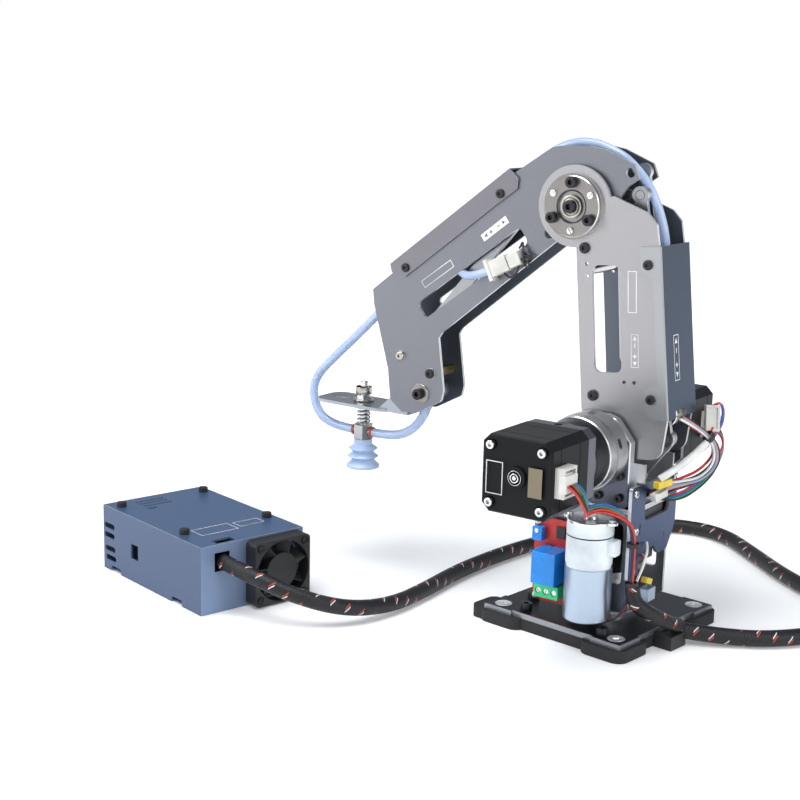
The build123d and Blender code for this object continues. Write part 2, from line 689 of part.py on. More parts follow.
def make_upper_arm():
    rear_bolts = [elbow(-47.9, -28.6), shoulder(-30.3, 31)]
    for name, outer in (("near", UPPER_OUTER), ("far", -UPPER_INNER)):
        with BuildPart() as plate:
            with BuildSketch(side(outer)):
                upper_plate_outline()
                with Locations(shoulder(-0.1, 72.5)):
                    RectangleRounded(17.0, 60.2, 4, rotation=-UPPER_SLOT_LEAN, mode=Mode.SUBTRACT)
                with Locations(elbow(0, 0)):
                    Circle(11, mode=Mode.SUBTRACT)
                with Locations(elbow(-9.6, -31.4), elbow(-10.0, -38.1), shoulder(-12.9, 38.3),
                               shoulder(-19.0, 38.8)):
                    Circle(1.1, mode=Mode.SUBTRACT)
                with Locations(shoulder(6.0, 28.4), *rear_bolts):
                    Circle(1.6, mode=Mode.SUBTRACT)
            extrude(amount=SHEET)
            if name == "near":
                with BuildSketch(side(MOUNT_OUTER + 6)):
                    with Locations(shoulder(0, 0)):
                        Circle(SHAFT_RADIUS)
                extrude(amount=MOUNT_OUTER + 6 - UPPER_OUTER)
            else:
                with BuildSketch(side(-UPPER_INNER)):
                    with Locations(shoulder(0, 0)):
                        Circle(SHAFT_RADIUS + FIT)
                extrude(amount=SHEET, mode=Mode.SUBTRACT)
        save(plate, f"upper_plate_{name}")

    cover_outer = UPPER_OUTER + COVER_SHEET
    top = elbow(-55.3, -18.0)
    foot = shoulder(-42.0, 20.5)
    lean_x = top[0] - foot[0]
    lean_z = top[1] - foot[1]
    length = math.hypot(lean_x, lean_z)
    along = (lean_x / length, lean_z / length)
    inward = (along[1], -along[0])

    def cover_point(up, depth):
        return (foot[0] + along[0] * up + inward[0] * depth, foot[1] + along[1] * up + inward[1] * depth)

    with BuildPart() as rear_cover:
        with BuildSketch(side(cover_outer)):
            with BuildLine():
                Polyline(
                    cover_point(0, 0), cover_point(length, 0), cover_point(length, 13),
                    cover_point(length - 13, 13), cover_point(length - 17, 6), cover_point(20, 6),
                    cover_point(17, 14), cover_point(4, 14), cover_point(0, 10),
                    close=True,
                )
            make_face()
        extrude(amount=2 * cover_outer)
        fillet(rear_cover.edges().filter_by(Axis(origin=(0, 0, 0), direction=(along[0], 0, along[1]))).
               sort_by(Axis.X)[:2], 1.2)
        with BuildSketch(side(UPPER_OUTER)):
            with BuildLine():
                Polyline(
                    cover_point(-5, COVER_SHEET), cover_point(length + 5, COVER_SHEET),
                    cover_point(length + 5, 20), cover_point(-5, 20),
                    close=True,
                )
            make_face()
        extrude(amount=2 * UPPER_OUTER, mode=Mode.SUBTRACT)
        with BuildSketch(side(cover_outer)):
            with Locations(*rear_bolts):
                Circle(1.6)
        extrude(amount=2 * cover_outer, mode=Mode.SUBTRACT)
        notch = Plane(origin=(foot[0], 0, foot[1]), x_dir=(0, 1, 0), z_dir=(-inward[0], 0, -inward[1]))
        with BuildSketch(notch.offset(2)):
            with Locations((2, 0)):
                RectangleRounded(14, 9, 2)
        extrude(amount=-5, mode=Mode.SUBTRACT)
    save(rear_cover, "rear_cover")

    with BuildPart() as upper_spacers:
        with BuildSketch(side(UPPER_INNER)):
            with Locations(shoulder(6.0, 28.4), elbow(-9.8, -34.8)):
                Circle(3.0)
        extrude(amount=2 * UPPER_INNER)
    save(upper_spacers, "upper_spacers")

    shaft_half = UPPER_OUTER + 3.4
    with BuildPart() as elbow_shaft:
        with BuildSketch(side(shaft_half)):
            with Locations(elbow(0, 0)):
                Circle(SHAFT_RADIUS)
        extrude(amount=2 * shaft_half)
    save(elbow_shaft, "elbow_shaft")

    for name, sign in (("near", 1), ("far", -1)):
        outermost = -1 if sign > 0 else 0
        with BuildPart() as disc:
            with BuildSketch(side(sign * UPPER_OUTER)):
                with Locations(elbow(0, 0)):
                    Circle(18.4)
            extrude(amount=-sign * 1.6)
            with BuildSketch(side(sign * (UPPER_OUTER + 1.6))):
                with Locations(elbow(0, 0)):
                    Circle(17.2)
            extrude(amount=-sign * 1.6)
            chamfer(disc.edges().filter_by(GeomType.CIRCLE).sort_by(Axis.Y)[outermost], 0.5)
            with BuildSketch(side(sign * UPPER_OUTER)):
                with Locations(elbow(0, 0)):
                    Circle(11)
            extrude(amount=sign * SHEET)
            with BuildSketch(side(sign * (UPPER_OUTER + 3.2))):
                with Locations(elbow(0, 0)):
                    Circle(9.6)
                    Circle(5.6, mode=Mode.SUBTRACT)
            extrude(amount=sign * 0.9, mode=Mode.SUBTRACT)
            with BuildSketch(side(sign * (UPPER_OUTER + 3.2))):
                with Locations(elbow(0, 0)):
                    with PolarLocations(13.5, 6, start_angle=90):
                        Circle(1.6)
                    Circle(SHAFT_RADIUS)
            extrude(amount=sign * (3.2 + SHEET), mode=Mode.SUBTRACT)
        save(disc, f"elbow_disc_{name}")


# Forearm: two plates, a top channel cover and spacers

FORE_SLOT_ANGLE = -36.3


def fore_plate_outline():
    """Outline of a forearm plate in the current sketch."""
    with BuildLine() as outline:
        Polyline(
            elbow(41.8, 16.3), elbow(17.8, 31.8), elbow(12.8, 32.5), elbow(-5.9, 33.5),
            elbow(-15.9, 31.7), elbow(-33.9, 24.4), elbow(-37.0, 17.0), elbow(-30, 12),
            elbow(-14, -13), elbow(11.0, -19.5), wrist(-14.6, 39.7),
            wrist(-12.2, 35.9), wrist(-16.7, 3.8), wrist(-15.2, -2.9), wrist(3.4, -12.8),
            wrist(13.8, -13.6), wrist(22.8, -6.9), wrist(25.1, 12.6),
            wrist(36.7, 51.9), wrist(37.8, 61.1),
            close=True,
        )
    make_face(outline.edges())
    fillet(vertices().filter_by_position(Axis.Y, WRIST_Z - 14, WRIST_Z + 5), 3)


def make_forearm():
    spacers = [elbow(16.8, -16.6), wrist(-7.0, 13.3)]
    for name, outer in (("near", FORE_OUTER), ("far", -FORE_INNER)):
        with BuildPart() as plate:
            with BuildSketch(side(outer)):
                fore_plate_outline()
                with Locations(elbow(69.3, -44.7)):
                    RectangleRounded(87.5, 10.8, 3, rotation=FORE_SLOT_ANGLE, mode=Mode.SUBTRACT)
                with Locations(elbow(0, 0)):
                    Circle(SHAFT_RADIUS + FIT, mode=Mode.SUBTRACT)
                with Locations(wrist(0, 0)):
                    Circle(PIN_RADIUS + FIT, mode=Mode.SUBTRACT)
                with Locations(elbow(CRANK_DX, CRANK_DZ)):
                    Circle(PIN_RADIUS + CLEAR, mode=Mode.SUBTRACT)
                with Locations(wrist(15.4, 21.7), *spacers):
                    Circle(1.6, mode=Mode.SUBTRACT)
            extrude(amount=SHEET)
        save(plate, f"forearm_plate_{name}")

    cover_outer = FORE_OUTER + FORE_COVER_SHEET
    top_start = elbow(44.9, 18.6)
    top_end = wrist(24.2, 78.2)
    run_x = top_end[0] - top_start[0]
    run_z = top_end[1] - top_start[1]
    run = math.hypot(run_x, run_z)
    along = (run_x / run, run_z / run)
    inward = (along[1], -along[0])

    def cover_point(reach, depth):
        return (top_start[0] + along[0] * reach + inward[0] * depth,
                top_start[1] + along[1] * reach + inward[1] * depth)

    with BuildPart() as forearm_cover:
        with BuildSketch(side(cover_outer)):
            with BuildLine():
                Polyline(
                    cover_point(0, 0), cover_point(run, 0), cover_point(run + 2, 5),
                    cover_point(run - 5, 12.5), cover_point(20, 12.3), cover_point(2, 12.5),
                    cover_point(-2, 8),
                    close=True,
                )
            make_face()
        extrude(amount=2 * cover_outer)
        with BuildSketch(side(FORE_OUTER)):
            with BuildLine():
                Polyline(
                    cover_point(-10, FORE_COVER_SHEET), cover_point(run + 10, FORE_COVER_SHEET),
                    cover_point(run + 10, 20), cover_point(-10, 20),
                    close=True,
                )
            make_face()
        extrude(amount=2 * FORE_OUTER, mode=Mode.SUBTRACT)
        with BuildSketch(side(cover_outer)):
            with Locations(elbow(50.4, 3.8), wrist(12.4, 76.8)):
                Circle(1.5)
        extrude(amount=2 * cover_outer, mode=Mode.SUBTRACT)
    save(forearm_cover, "forearm_cover")

    with BuildPart() as forearm_spacers:
        with BuildSketch(side(FORE_INNER)):
            with Locations(*spacers):
                RegularPolygon(3.0, 6)
        extrude(amount=2 * FORE_INNER)
    save(forearm_spacers, "forearm_spacers")


# Linkage: crank, drive rod, level triangle and level rods

CRANK_OUTER = -6.0
LINK_PLANE = 5.0


def link_outline(start, end, radius):
    """A straight link between two pivots in the current sketch."""
    length = math.hypot(end[0] - start[0], end[1] - start[1])
    turn = math.degrees(math.atan2(end[1] - start[1], end[0] - start[0]))
    with Locations(((start[0] + end[0]) / 2, (start[1] + end[1]) / 2)):
        Rectangle(length, 1.5 * radius, rotation=turn)
    with Locations(start, end):
        Circle(radius)


def make_linkage():
    crank_pin_at = shoulder(CRANK_DX, CRANK_DZ)
    rod_near = CRANK_OUTER + CLEAR + ROD_THICKNESS
    with BuildPart() as crank:
        with BuildSketch(side(CRANK_OUTER)):
            link_outline(shoulder(0, 0), crank_pin_at, LOBE_RADIUS)
            with Locations(shoulder(0, 0)):
                Circle(8)
        extrude(amount=ROD_THICKNESS)
        with BuildSketch(side(CRANK_OUTER)):
            with Locations(crank_pin_at):
                Circle(PIN_RADIUS + FIT)
        extrude(amount=ROD_THICKNESS, mode=Mode.SUBTRACT)
        with BuildSketch(side(CRANK_OUTER - ROD_THICKNESS)):
            with Locations(shoulder(0, 0)):
                Circle(SHAFT_RADIUS)
        extrude(amount=MOUNT_OUTER + 6 + CRANK_OUTER - ROD_THICKNESS)
    save(crank, "crank")

    with BuildPart() as crank_pin:
        with BuildSketch(side(rod_near + 0.4)):
            with Locations(crank_pin_at):
                Circle(PIN_RADIUS)
        extrude(amount=rod_near + 0.4 - CRANK_OUTER + ROD_THICKNESS + 0.4)
        for face, way in ((rod_near + FIT, -1), (CRANK_OUTER - ROD_THICKNESS - FIT, 1)):
            with BuildSketch(side(face)):
                with Locations(crank_pin_at):
                    Circle(PIVOT_HEAD_RADIUS)
            extrude(amount=way * PIVOT_HEAD_LENGTH)
        chamfer(crank_pin.edges().filter_by(GeomType.CIRCLE).group_by(Axis.Y)[0], 0.6)
        chamfer(crank_pin.edges().filter_by(GeomType.CIRCLE).group_by(Axis.Y)[-1], 0.6)
    save(crank_pin, "crank_pin")

    rod_top = elbow(CRANK_DX, CRANK_DZ)
    with BuildPart() as drive_rod:
        with BuildSketch(side(rod_near)):
            link_outline(crank_pin_at, rod_top, LOBE_RADIUS)
            with Locations(crank_pin_at):
                Circle(PIN_RADIUS + FIT, mode=Mode.SUBTRACT)
        extrude(amount=ROD_THICKNESS)
        with BuildSketch(side(rod_near)):
            with Locations(rod_top):
                Circle(PIN_RADIUS)
        extrude(amount=FORE_OUTER + 0.6 + rod_near)
    save(drive_rod, "drive_rod")

    rear_pin = elbow(LEVEL_REAR_DX, LEVEL_REAR_DZ)
    front_pin = elbow(LEVEL_FRONT_DX, LEVEL_FRONT_DZ)
    rod_plane = LINK_PLANE + CLEAR + ROD_THICKNESS
    with BuildPart() as level_triangle:
        with BuildSketch(side(LINK_PLANE)):
            with BuildLine():
                Polyline(elbow(-2, -4), rear_pin, front_pin, elbow(5, 0), close=True)
            make_face()
            with Locations(rear_pin, front_pin):
                Circle(LOBE_RADIUS)
            with Locations(elbow(0, 0)):
                Circle(7.5)
                Circle(SHAFT_RADIUS + FIT, mode=Mode.SUBTRACT)
        extrude(amount=SHEET)
        with BuildSketch(side(LINK_PLANE)):
            with Locations(rear_pin, front_pin):
                Circle(PIN_RADIUS)
        extrude(amount=-(CLEAR + ROD_THICKNESS))
    save(level_triangle, "level_triangle")

    with BuildPart() as level_rod_upper:
        with BuildSketch(side(rod_plane)):
            link_outline(shoulder(LEVEL_REAR_DX, LEVEL_REAR_DZ), rear_pin, LOBE_RADIUS)
            with Locations(shoulder(LEVEL_REAR_DX, LEVEL_REAR_DZ)):
                Circle(PIN_RADIUS + FIT, mode=Mode.SUBTRACT)
            with Locations(rear_pin):
                Circle(PIN_RADIUS + CLEAR, mode=Mode.SUBTRACT)
        extrude(amount=ROD_THICKNESS)
    save(level_rod_upper, "level_rod_upper")

    with BuildPart() as level_rod_lower:
        with BuildSketch(side(rod_plane)):
            link_outline(front_pin, wrist(LEVEL_FRONT_DX, LEVEL_FRONT_DZ), LOBE_RADIUS)
            with Locations(front_pin):
                Circle(PIN_RADIUS + FIT, mode=Mode.SUBTRACT)
            with Locations(wrist(LEVEL_FRONT_DX, LEVEL_FRONT_DZ)):
                Circle(PIN_RADIUS + CLEAR, mode=Mode.SUBTRACT)
        extrude(amount=ROD_THICKNESS)
    save(level_rod_lower, "level_rod_lower")


# Tool: bracket, spring-loaded rod, air block and bellows cup

def make_tool():
    ear_outer = FORE_INNER - CLEAR
    rod_plane = LINK_PLANE + CLEAR + ROD_THICKNESS
    level_pin = wrist(LEVEL_FRONT_DX, LEVEL_FRONT_DZ)
    wide_from = WRIST_X + 25
    with BuildPart() as tool_bracket:
        with BuildSketch(level(TOOL_Z - TOOL_SHEET)):
            with Locations(((WRIST_X + 11 + TOOL_X) / 2, 0)):
                Rectangle(TOOL_X - WRIST_X - 11, 2 * ear_outer)
            with Locations(((wide_from + TOOL_X + 31) / 2, 0)):
                RectangleRounded(TOOL_X + 31 - wide_from, 28, 9)
        extrude(amount=TOOL_SHEET)
        with BuildSketch(level(TOOL_Z)):
            with Locations((TOOL_X, 0)):
                Circle(ROD_RADIUS + 0.08)
            with Locations((TOOL_X + 18, 0)):
                SlotOverall(12, 5)
        extrude(amount=-TOOL_SHEET, mode=Mode.SUBTRACT)
        for y in (ear_outer, -ear_outer + TOOL_SHEET):
            with BuildSketch(side(y)):
                with BuildLine():
                    Polyline(
                        wrist(-5, 0), wrist(0, -5.5), wrist(11, -TOOL_DROP), wrist(33, -TOOL_DROP),
                        wrist(24, -6), wrist(6, 4),
                        close=True,
                    )
                make_face()
                with Locations(wrist(0, 0)):
                    Circle(6)
            extrude(amount=TOOL_SHEET)
        with BuildSketch(side(LINK_PLANE)):
            link_outline(wrist(0, 0), level_pin, LOBE_RADIUS)
        extrude(amount=SHEET)
        with BuildSketch(side(LINK_PLANE)):
            with Locations(level_pin):
                Circle(PIN_RADIUS)
        extrude(amount=-(CLEAR + ROD_THICKNESS))
        with BuildSketch(side(ear_outer)):
            with Locations(wrist(0, 0)):
                Circle(4.5)
        extrude(amount=2 * ear_outer)
        with BuildSketch(side(ear_outer)):
            with Locations(wrist(0, 0)):
                Circle(PIN_RADIUS)
        extrude(amount=2 * ear_outer, mode=Mode.SUBTRACT)
    save(tool_bracket, "tool_bracket")

    with BuildPart() as wrist_shaft:
        with BuildSketch(side(FORE_OUTER + 0.8)):
            with Locations(wrist(0, 0)):
                Circle(PIN_RADIUS)
        extrude(amount=2 * FORE_OUTER + 1.6)
    save(wrist_shaft, "wrist_shaft")

    block_top = TOOL_Z - TOOL_SHEET - 13.5
    block_height = 9.2
    block_bottom = block_top - block_height
    with BuildPart() as suction_rod:
        with BuildSketch(level(block_top)):
            with Locations((TOOL_X, 0)):
                Circle(ROD_RADIUS)
        extrude(amount=TOOL_Z + 12.7 - block_top)
        for start in (0.1, 5.0):
            with BuildSketch(level(TOOL_Z + start)):
                with Locations((TOOL_X, 0)):
                    RegularPolygon(4.6, 6)
            extrude(amount=3.6)
        chamfer(suction_rod.edges().sort_by(Axis.Z)[-1], 0.5)
    save(suction_rod, "suction_rod")

    coil = 0.55
    turns = 5.0
    spring_height = TOOL_Z - TOOL_SHEET - block_top - 2 * coil - 0.2
    with BuildPart() as suction_spring:
        with BuildLine() as coil_path:
            Helix(pitch=spring_height / turns, height=spring_height, radius=4.0,
                  center=(TOOL_X, 0, block_top + coil + 0.1))
        with BuildSketch(Plane(origin=coil_path.wires()[0] @ 0, z_dir=coil_path.wires()[0] % 0)):
            Circle(coil)
        sweep(path=coil_path.wires()[0], is_frenet=True)
    save(suction_spring, "suction_spring")

    fitting_z = block_top - block_height / 2
    with BuildPart() as suction_block:
        with BuildSketch(level(block_bottom)):
            with Locations((TOOL_X, 0)):
                RegularPolygon(6.6, 6)
        extrude(amount=block_height)
        for sign in (1, -1):
            outlet = Plane(origin=(TOOL_X, 0, fitting_z), x_dir=(0, 1, 0), z_dir=(sign, 0, 0))
            with BuildSketch(outlet):
                Circle(2.9)
            extrude(amount=8)
        with BuildSketch(level(block_bottom - 3)):
            with Locations((TOOL_X, 0)):
                Circle(3.2)
        extrude(amount=3)
    save(suction_block, "suction_block")

    cup_top = block_bottom
    cup_height = 19.0
    with BuildPart() as suction_cup:
        with BuildSketch(Plane.XZ) as section:
            with BuildLine():
                Polyline(
                    (TOOL_X + 3.2, cup_top - 0.3), (TOOL_X + 6.0, cup_top - 0.3),
                    (TOOL_X + 6.0, cup_top - 4.0), (TOOL_X + 9.4, cup_top - 6.6),
                    (TOOL_X + 6.4, cup_top - 9.0), (TOOL_X + 10.0, cup_top - 11.8),
                    (TOOL_X + 6.8, cup_top - 14.0), (TOOL_X + CUP_RADIUS, cup_top - 17.6),
                    (TOOL_X + CUP_RADIUS, cup_top - cup_height),
                    (TOOL_X + CUP_RADIUS - 1.2, cup_top - cup_height),
                    (TOOL_X + 4.6, cup_top - 14.4), (TOOL_X + 4.6, cup_top - 3.4),
                    (TOOL_X + 3.2, cup_top - 3.4),
                    close=True,
                )
            make_face()
        revolve(axis=Axis((TOOL_X, 0, 0), (0, 0, 1)))
    save(suction_cup, "suction_cup")
    return fitting_z


# Air tubes between the tool, the forearm and the upper arm

def make_tubes(fitting_z):
    barb = TOOL_X + 8
    left_points = [
        (barb, 0, fitting_z), (barb + 21, 0, fitting_z), (barb + 33.2, 0, fitting_z + 12.2),
        (barb + 33.2, 0, fitting_z + 29.4), (barb + 15.5, 0, fitting_z + 46.5),
        (barb - 8, 0, fitting_z + 67.5), (barb - 29, 0, fitting_z + 88),
    ]
    make_tube("tool_tube_front", left_points, TUBE_RADIUS)
    barb = TOOL_X - 8
    right_points = [
        (barb, 0, fitting_z), (barb - 13, 0, fitting_z), (barb - 26, 1.0, fitting_z + 3.5),
        (barb - 36, 2.0, fitting_z + 11.0), (barb - 42.5, 2.5, fitting_z + 21),
    ]
    make_tube("tool_tube_rear", right_points, TUBE_RADIUS)
    elbow_route = [
        elbow(-50.7, -31.6), elbow(-49.3, -16.6), elbow(-44.7, -1.6), elbow(-37.2, 13.4),
        elbow(-24.7, 25.9), elbow(-5.7, 34.4), elbow(14.3, 33.4), elbow(31.3, 24.4),
        elbow(46.3, 11.9), elbow(60.3, -0.6),
    ]
    make_tube("elbow_tube", [(x, 0, z) for x, z in elbow_route], ELBOW_TUBE_RADIUS)


# Control box: tray, lid, fan and bumpers

BUMPER_POINTS = [(45.5, 30.0), (45.5, -31.0), (-27.0, 29.0), (-27.0, -31.0)]


def make_box():
    wall_top = BOX_HEIGHT - 3
    port = (22.0, 31.0, 10.5, 11.5)
    with BuildPart() as box_tray:
        with BuildSketch(box_level(0)):
            Rectangle(BOX_LENGTH, BOX_WIDTH)
        extrude(amount=wall_top)
        with BuildSketch(box_level(BOX_SHEET)):
            Rectangle(BOX_LENGTH - 2 * BOX_SHEET, BOX_WIDTH - 2 * BOX_SHEET)
        extrude(amount=BOX_HEIGHT, mode=Mode.SUBTRACT)
        with BuildSketch(box_side(BOX_WIDTH / 2 + 1)):
            for x, z in ((49.5, 29.2), (49.5, 23.0), (49.0, 14.2), (48.0, 8.2)):
                with Locations((x, z)):
                    SlotOverall(12.5, 3.4)
            with Locations((18.8, 19.5)):
                Rectangle(8.5, 9.5)
        extrude(amount=5, mode=Mode.SUBTRACT)
        with BuildSketch(box_side(BOX_WIDTH / 2 + 1)):
            with Locations((42, 0), (-30, 0)):
                RectangleRounded(12, 7, 1.5)
        extrude(amount=2 + BOX_SHEET, mode=Mode.SUBTRACT)
        with BuildSketch(box_end(-BOX_LENGTH / 2 - 1)):
            with Locations(port[:2]):
                Rectangle(port[2], port[3])
            with Locations((FAN_Y, FAN_SIDE / 2 + 0.5)):
                Circle(FAN_SIDE / 2 - 2)
        extrude(amount=4, mode=Mode.SUBTRACT)
    save(box_tray, "box_tray")

    with BuildPart() as box_lid:
        with BuildSketch(box_level(wall_top)):
            Rectangle(BOX_LENGTH, BOX_WIDTH)
        extrude(amount=BOX_HEIGHT - wall_top)
        with BuildSketch(box_level(wall_top)):
            Rectangle(BOX_LENGTH - 2 * BOX_SHEET, BOX_WIDTH - 2 * BOX_SHEET)
        extrude(amount=BOX_HEIGHT - wall_top - BOX_SHEET, mode=Mode.SUBTRACT)
        with BuildSketch(box_level(BOX_HEIGHT)):
            for index, x in enumerate((48.3, 43.4, 37.8)):
                with Locations((x, 8.3)):
                    SlotOverall(20.5, 1.8, rotation=90)
            with Locations((32.0, 15.8)):
                SlotOverall(6.5, 2.4, rotation=90)
            with Locations((-51.0, 17.5)):
                Rectangle(7, 13)
        extrude(amount=-2 * BOX_SHEET, mode=Mode.SUBTRACT)
    save(box_lid, "box_lid")

    with BuildPart() as box_bumpers:
        with BuildSketch(box_level(BOX_HEIGHT)):
            with Locations(*BUMPER_POINTS):
                Circle(3.0)
        extrude(amount=3.2)
        fillet(box_bumpers.edges().group_by(Axis.Z)[-1], 0.6)
    save(box_bumpers, "box_bumpers")

    fan_z = FAN_SIDE / 2 + 0.6
    fan_plane = box_end(-BOX_LENGTH / 2)
    with BuildPart() as fan_frame:
        with BuildSketch(fan_plane):
            with Locations((FAN_Y, fan_z)):
                RectangleRounded(FAN_SIDE, FAN_SIDE, 3)
                Circle(FAN_SIDE / 2 - 1.2, mode=Mode.SUBTRACT)
                with GridLocations(32, 32, 2, 2):
                    Circle(1.7, mode=Mode.SUBTRACT)
        extrude(amount=-FAN_DEPTH)
        with BuildSketch(fan_plane):
            with Locations((FAN_Y, fan_z)):
                Circle(8.5)
                with PolarLocations(FAN_SIDE / 4 + 3, 4, start_angle=20):
                    Rectangle(FAN_SIDE / 2 - 6, 1.8)
        extrude(amount=-1.4)
        with BuildSketch(fan_plane.offset(-1.4)):
            with Locations((FAN_Y, fan_z)):
                Circle(1.5)
        extrude(amount=-3)
    save(fan_frame, "fan_frame")

    blade_count = 7
    with BuildPart() as fan_rotor:
        with BuildSketch(fan_plane.offset(-2.2)):
            with Locations((FAN_Y, fan_z)):
                Circle(11)
                Circle(1.55, mode=Mode.SUBTRACT)
        extrude(amount=-6.8)
        with BuildSketch(fan_plane.offset(-6)):
            with Locations((FAN_Y, fan_z)):
                Circle(1.6)
        extrude(amount=-3)
        hub = fan_plane.from_local_coords((FAN_Y, fan_z, -5.6))
        for index in range(blade_count):
            turn = 2 * math.pi * index / blade_count
            radial = fan_plane.x_dir * math.cos(turn) + fan_plane.y_dir * math.sin(turn)
            blade_plane = Plane(origin=hub, x_dir=fan_plane.z_dir, z_dir=radial)
            with BuildSketch(blade_plane.offset(10.5)):
                Rectangle(8.6, 1.0, rotation=38)
            extrude(amount=7.3)
    save(fan_rotor, "fan_rotor")


make_base()
make_tube("harness", HARNESS_POINTS, HARNESS_RADIUS)
make_sockets(
    make_gear_motor("near", 1, NEAR_GEAR_LENGTHS),
    make_gear_motor("far", -1, FAR_GEAR_LENGTHS),
)
make_turret()
make_pump()
make_relay()
make_upper_arm()
make_forearm()
make_linkage()
make_tubes(make_tool())
make_box()
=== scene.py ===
import math

import bmesh
import bpy
from mathutils import Matrix, Vector


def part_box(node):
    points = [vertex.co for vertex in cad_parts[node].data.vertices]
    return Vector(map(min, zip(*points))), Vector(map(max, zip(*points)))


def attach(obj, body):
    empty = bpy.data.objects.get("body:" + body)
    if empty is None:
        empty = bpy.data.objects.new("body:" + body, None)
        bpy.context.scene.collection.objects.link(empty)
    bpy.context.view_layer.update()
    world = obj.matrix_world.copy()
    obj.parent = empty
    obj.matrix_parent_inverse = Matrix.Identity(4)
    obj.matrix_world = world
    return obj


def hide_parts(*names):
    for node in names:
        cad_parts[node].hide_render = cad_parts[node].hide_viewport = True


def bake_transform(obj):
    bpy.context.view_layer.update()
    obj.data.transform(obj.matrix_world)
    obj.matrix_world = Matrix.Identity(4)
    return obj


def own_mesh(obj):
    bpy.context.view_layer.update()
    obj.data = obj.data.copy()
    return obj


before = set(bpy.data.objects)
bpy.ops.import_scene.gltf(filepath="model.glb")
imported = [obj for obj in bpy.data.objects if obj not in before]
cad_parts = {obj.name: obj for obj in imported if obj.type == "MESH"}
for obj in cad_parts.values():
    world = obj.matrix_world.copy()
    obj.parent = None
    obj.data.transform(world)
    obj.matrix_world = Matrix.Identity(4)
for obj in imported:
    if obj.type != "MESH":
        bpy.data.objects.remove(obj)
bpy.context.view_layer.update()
bpy.ops.object.select_all(action="DESELECT")

# Places that many pieces share, in millimetres: x and z of the two arm axes, the turns of
# the base and the box, how far each sheet's outer face lies from the middle plane, and for
# each shoulder motor its side and the distance of its rear cap.
MM = 0.001
SHOULDER = (-4.0, 110.0)
ELBOW = (19.704, 243.614)
BASE_YAW = math.radians(-7.2)
BOX_CENTRE = (231.4, 93.8)
BOX_YAW = math.radians(-14.25)
BOX_TOP = 41.7
TOOL_X = 176.0
AIR_LINE_Z = 87.9
PUMP_PLACE = (-11.4, 37.1)
FORE_FACE = 12.45
FORE_COVER_FACE = 13.65
UPPER_FACE = 16.45
REAR_COVER_FACE = 17.95
DISC_FACE = 19.6
MOUNT_FACE = 23.95
BOARD_FACE = 27.8
MOTOR_ENDS = (("near", 1, 109.6), ("far", -1, 90.6))
SIDES = ((1, "n"), (-1, "f"))
CORNERS = ((1, 1), (-1, 1), (-1, -1), (1, -1))
UP = (0, 0, 1)
NEAR = (0, 1, 0)


def add_object(name, data):
    """Put a new object with this data in the scene."""
    piece = bpy.data.objects.new(name, data)
    bpy.context.collection.objects.link(piece)
    return piece


def built_mesh(name, work):
    """Close a hand-built mesh and put it in the scene."""
    mesh = bpy.data.meshes.new(name)
    bmesh.ops.recalc_face_normals(work, faces=work.faces)
    work.to_mesh(mesh)
    work.free()
    return add_object(name, mesh)


# The camera stands behind the arm's near side and looks slightly down, as in the photograph.
azimuth = math.radians(215.30)
elevation = math.radians(12.03)
roll = math.radians(1.31)
back = Vector((math.sin(azimuth) * math.cos(elevation), -math.cos(azimuth) * math.cos(elevation),
               math.sin(elevation)))
right = Vector(UP).cross(back).normalized()
up = back.cross(right)
right_rolled = right * math.cos(roll) + up * math.sin(roll)
up_rolled = up * math.cos(roll) - right * math.sin(roll)
eye = add_object("eye", bpy.data.cameras.new("eye"))
turned = Matrix((right_rolled, up_rolled, back)).transposed().to_4x4()
eye.matrix_world = Matrix.Translation((-0.38543, 0.75264, 0.30879)) @ turned
eye.data.sensor_width = 36
eye.data.lens = 66.97
eye.data.clip_start = 0.01
eye.data.clip_end = 20
bpy.context.scene.camera = eye


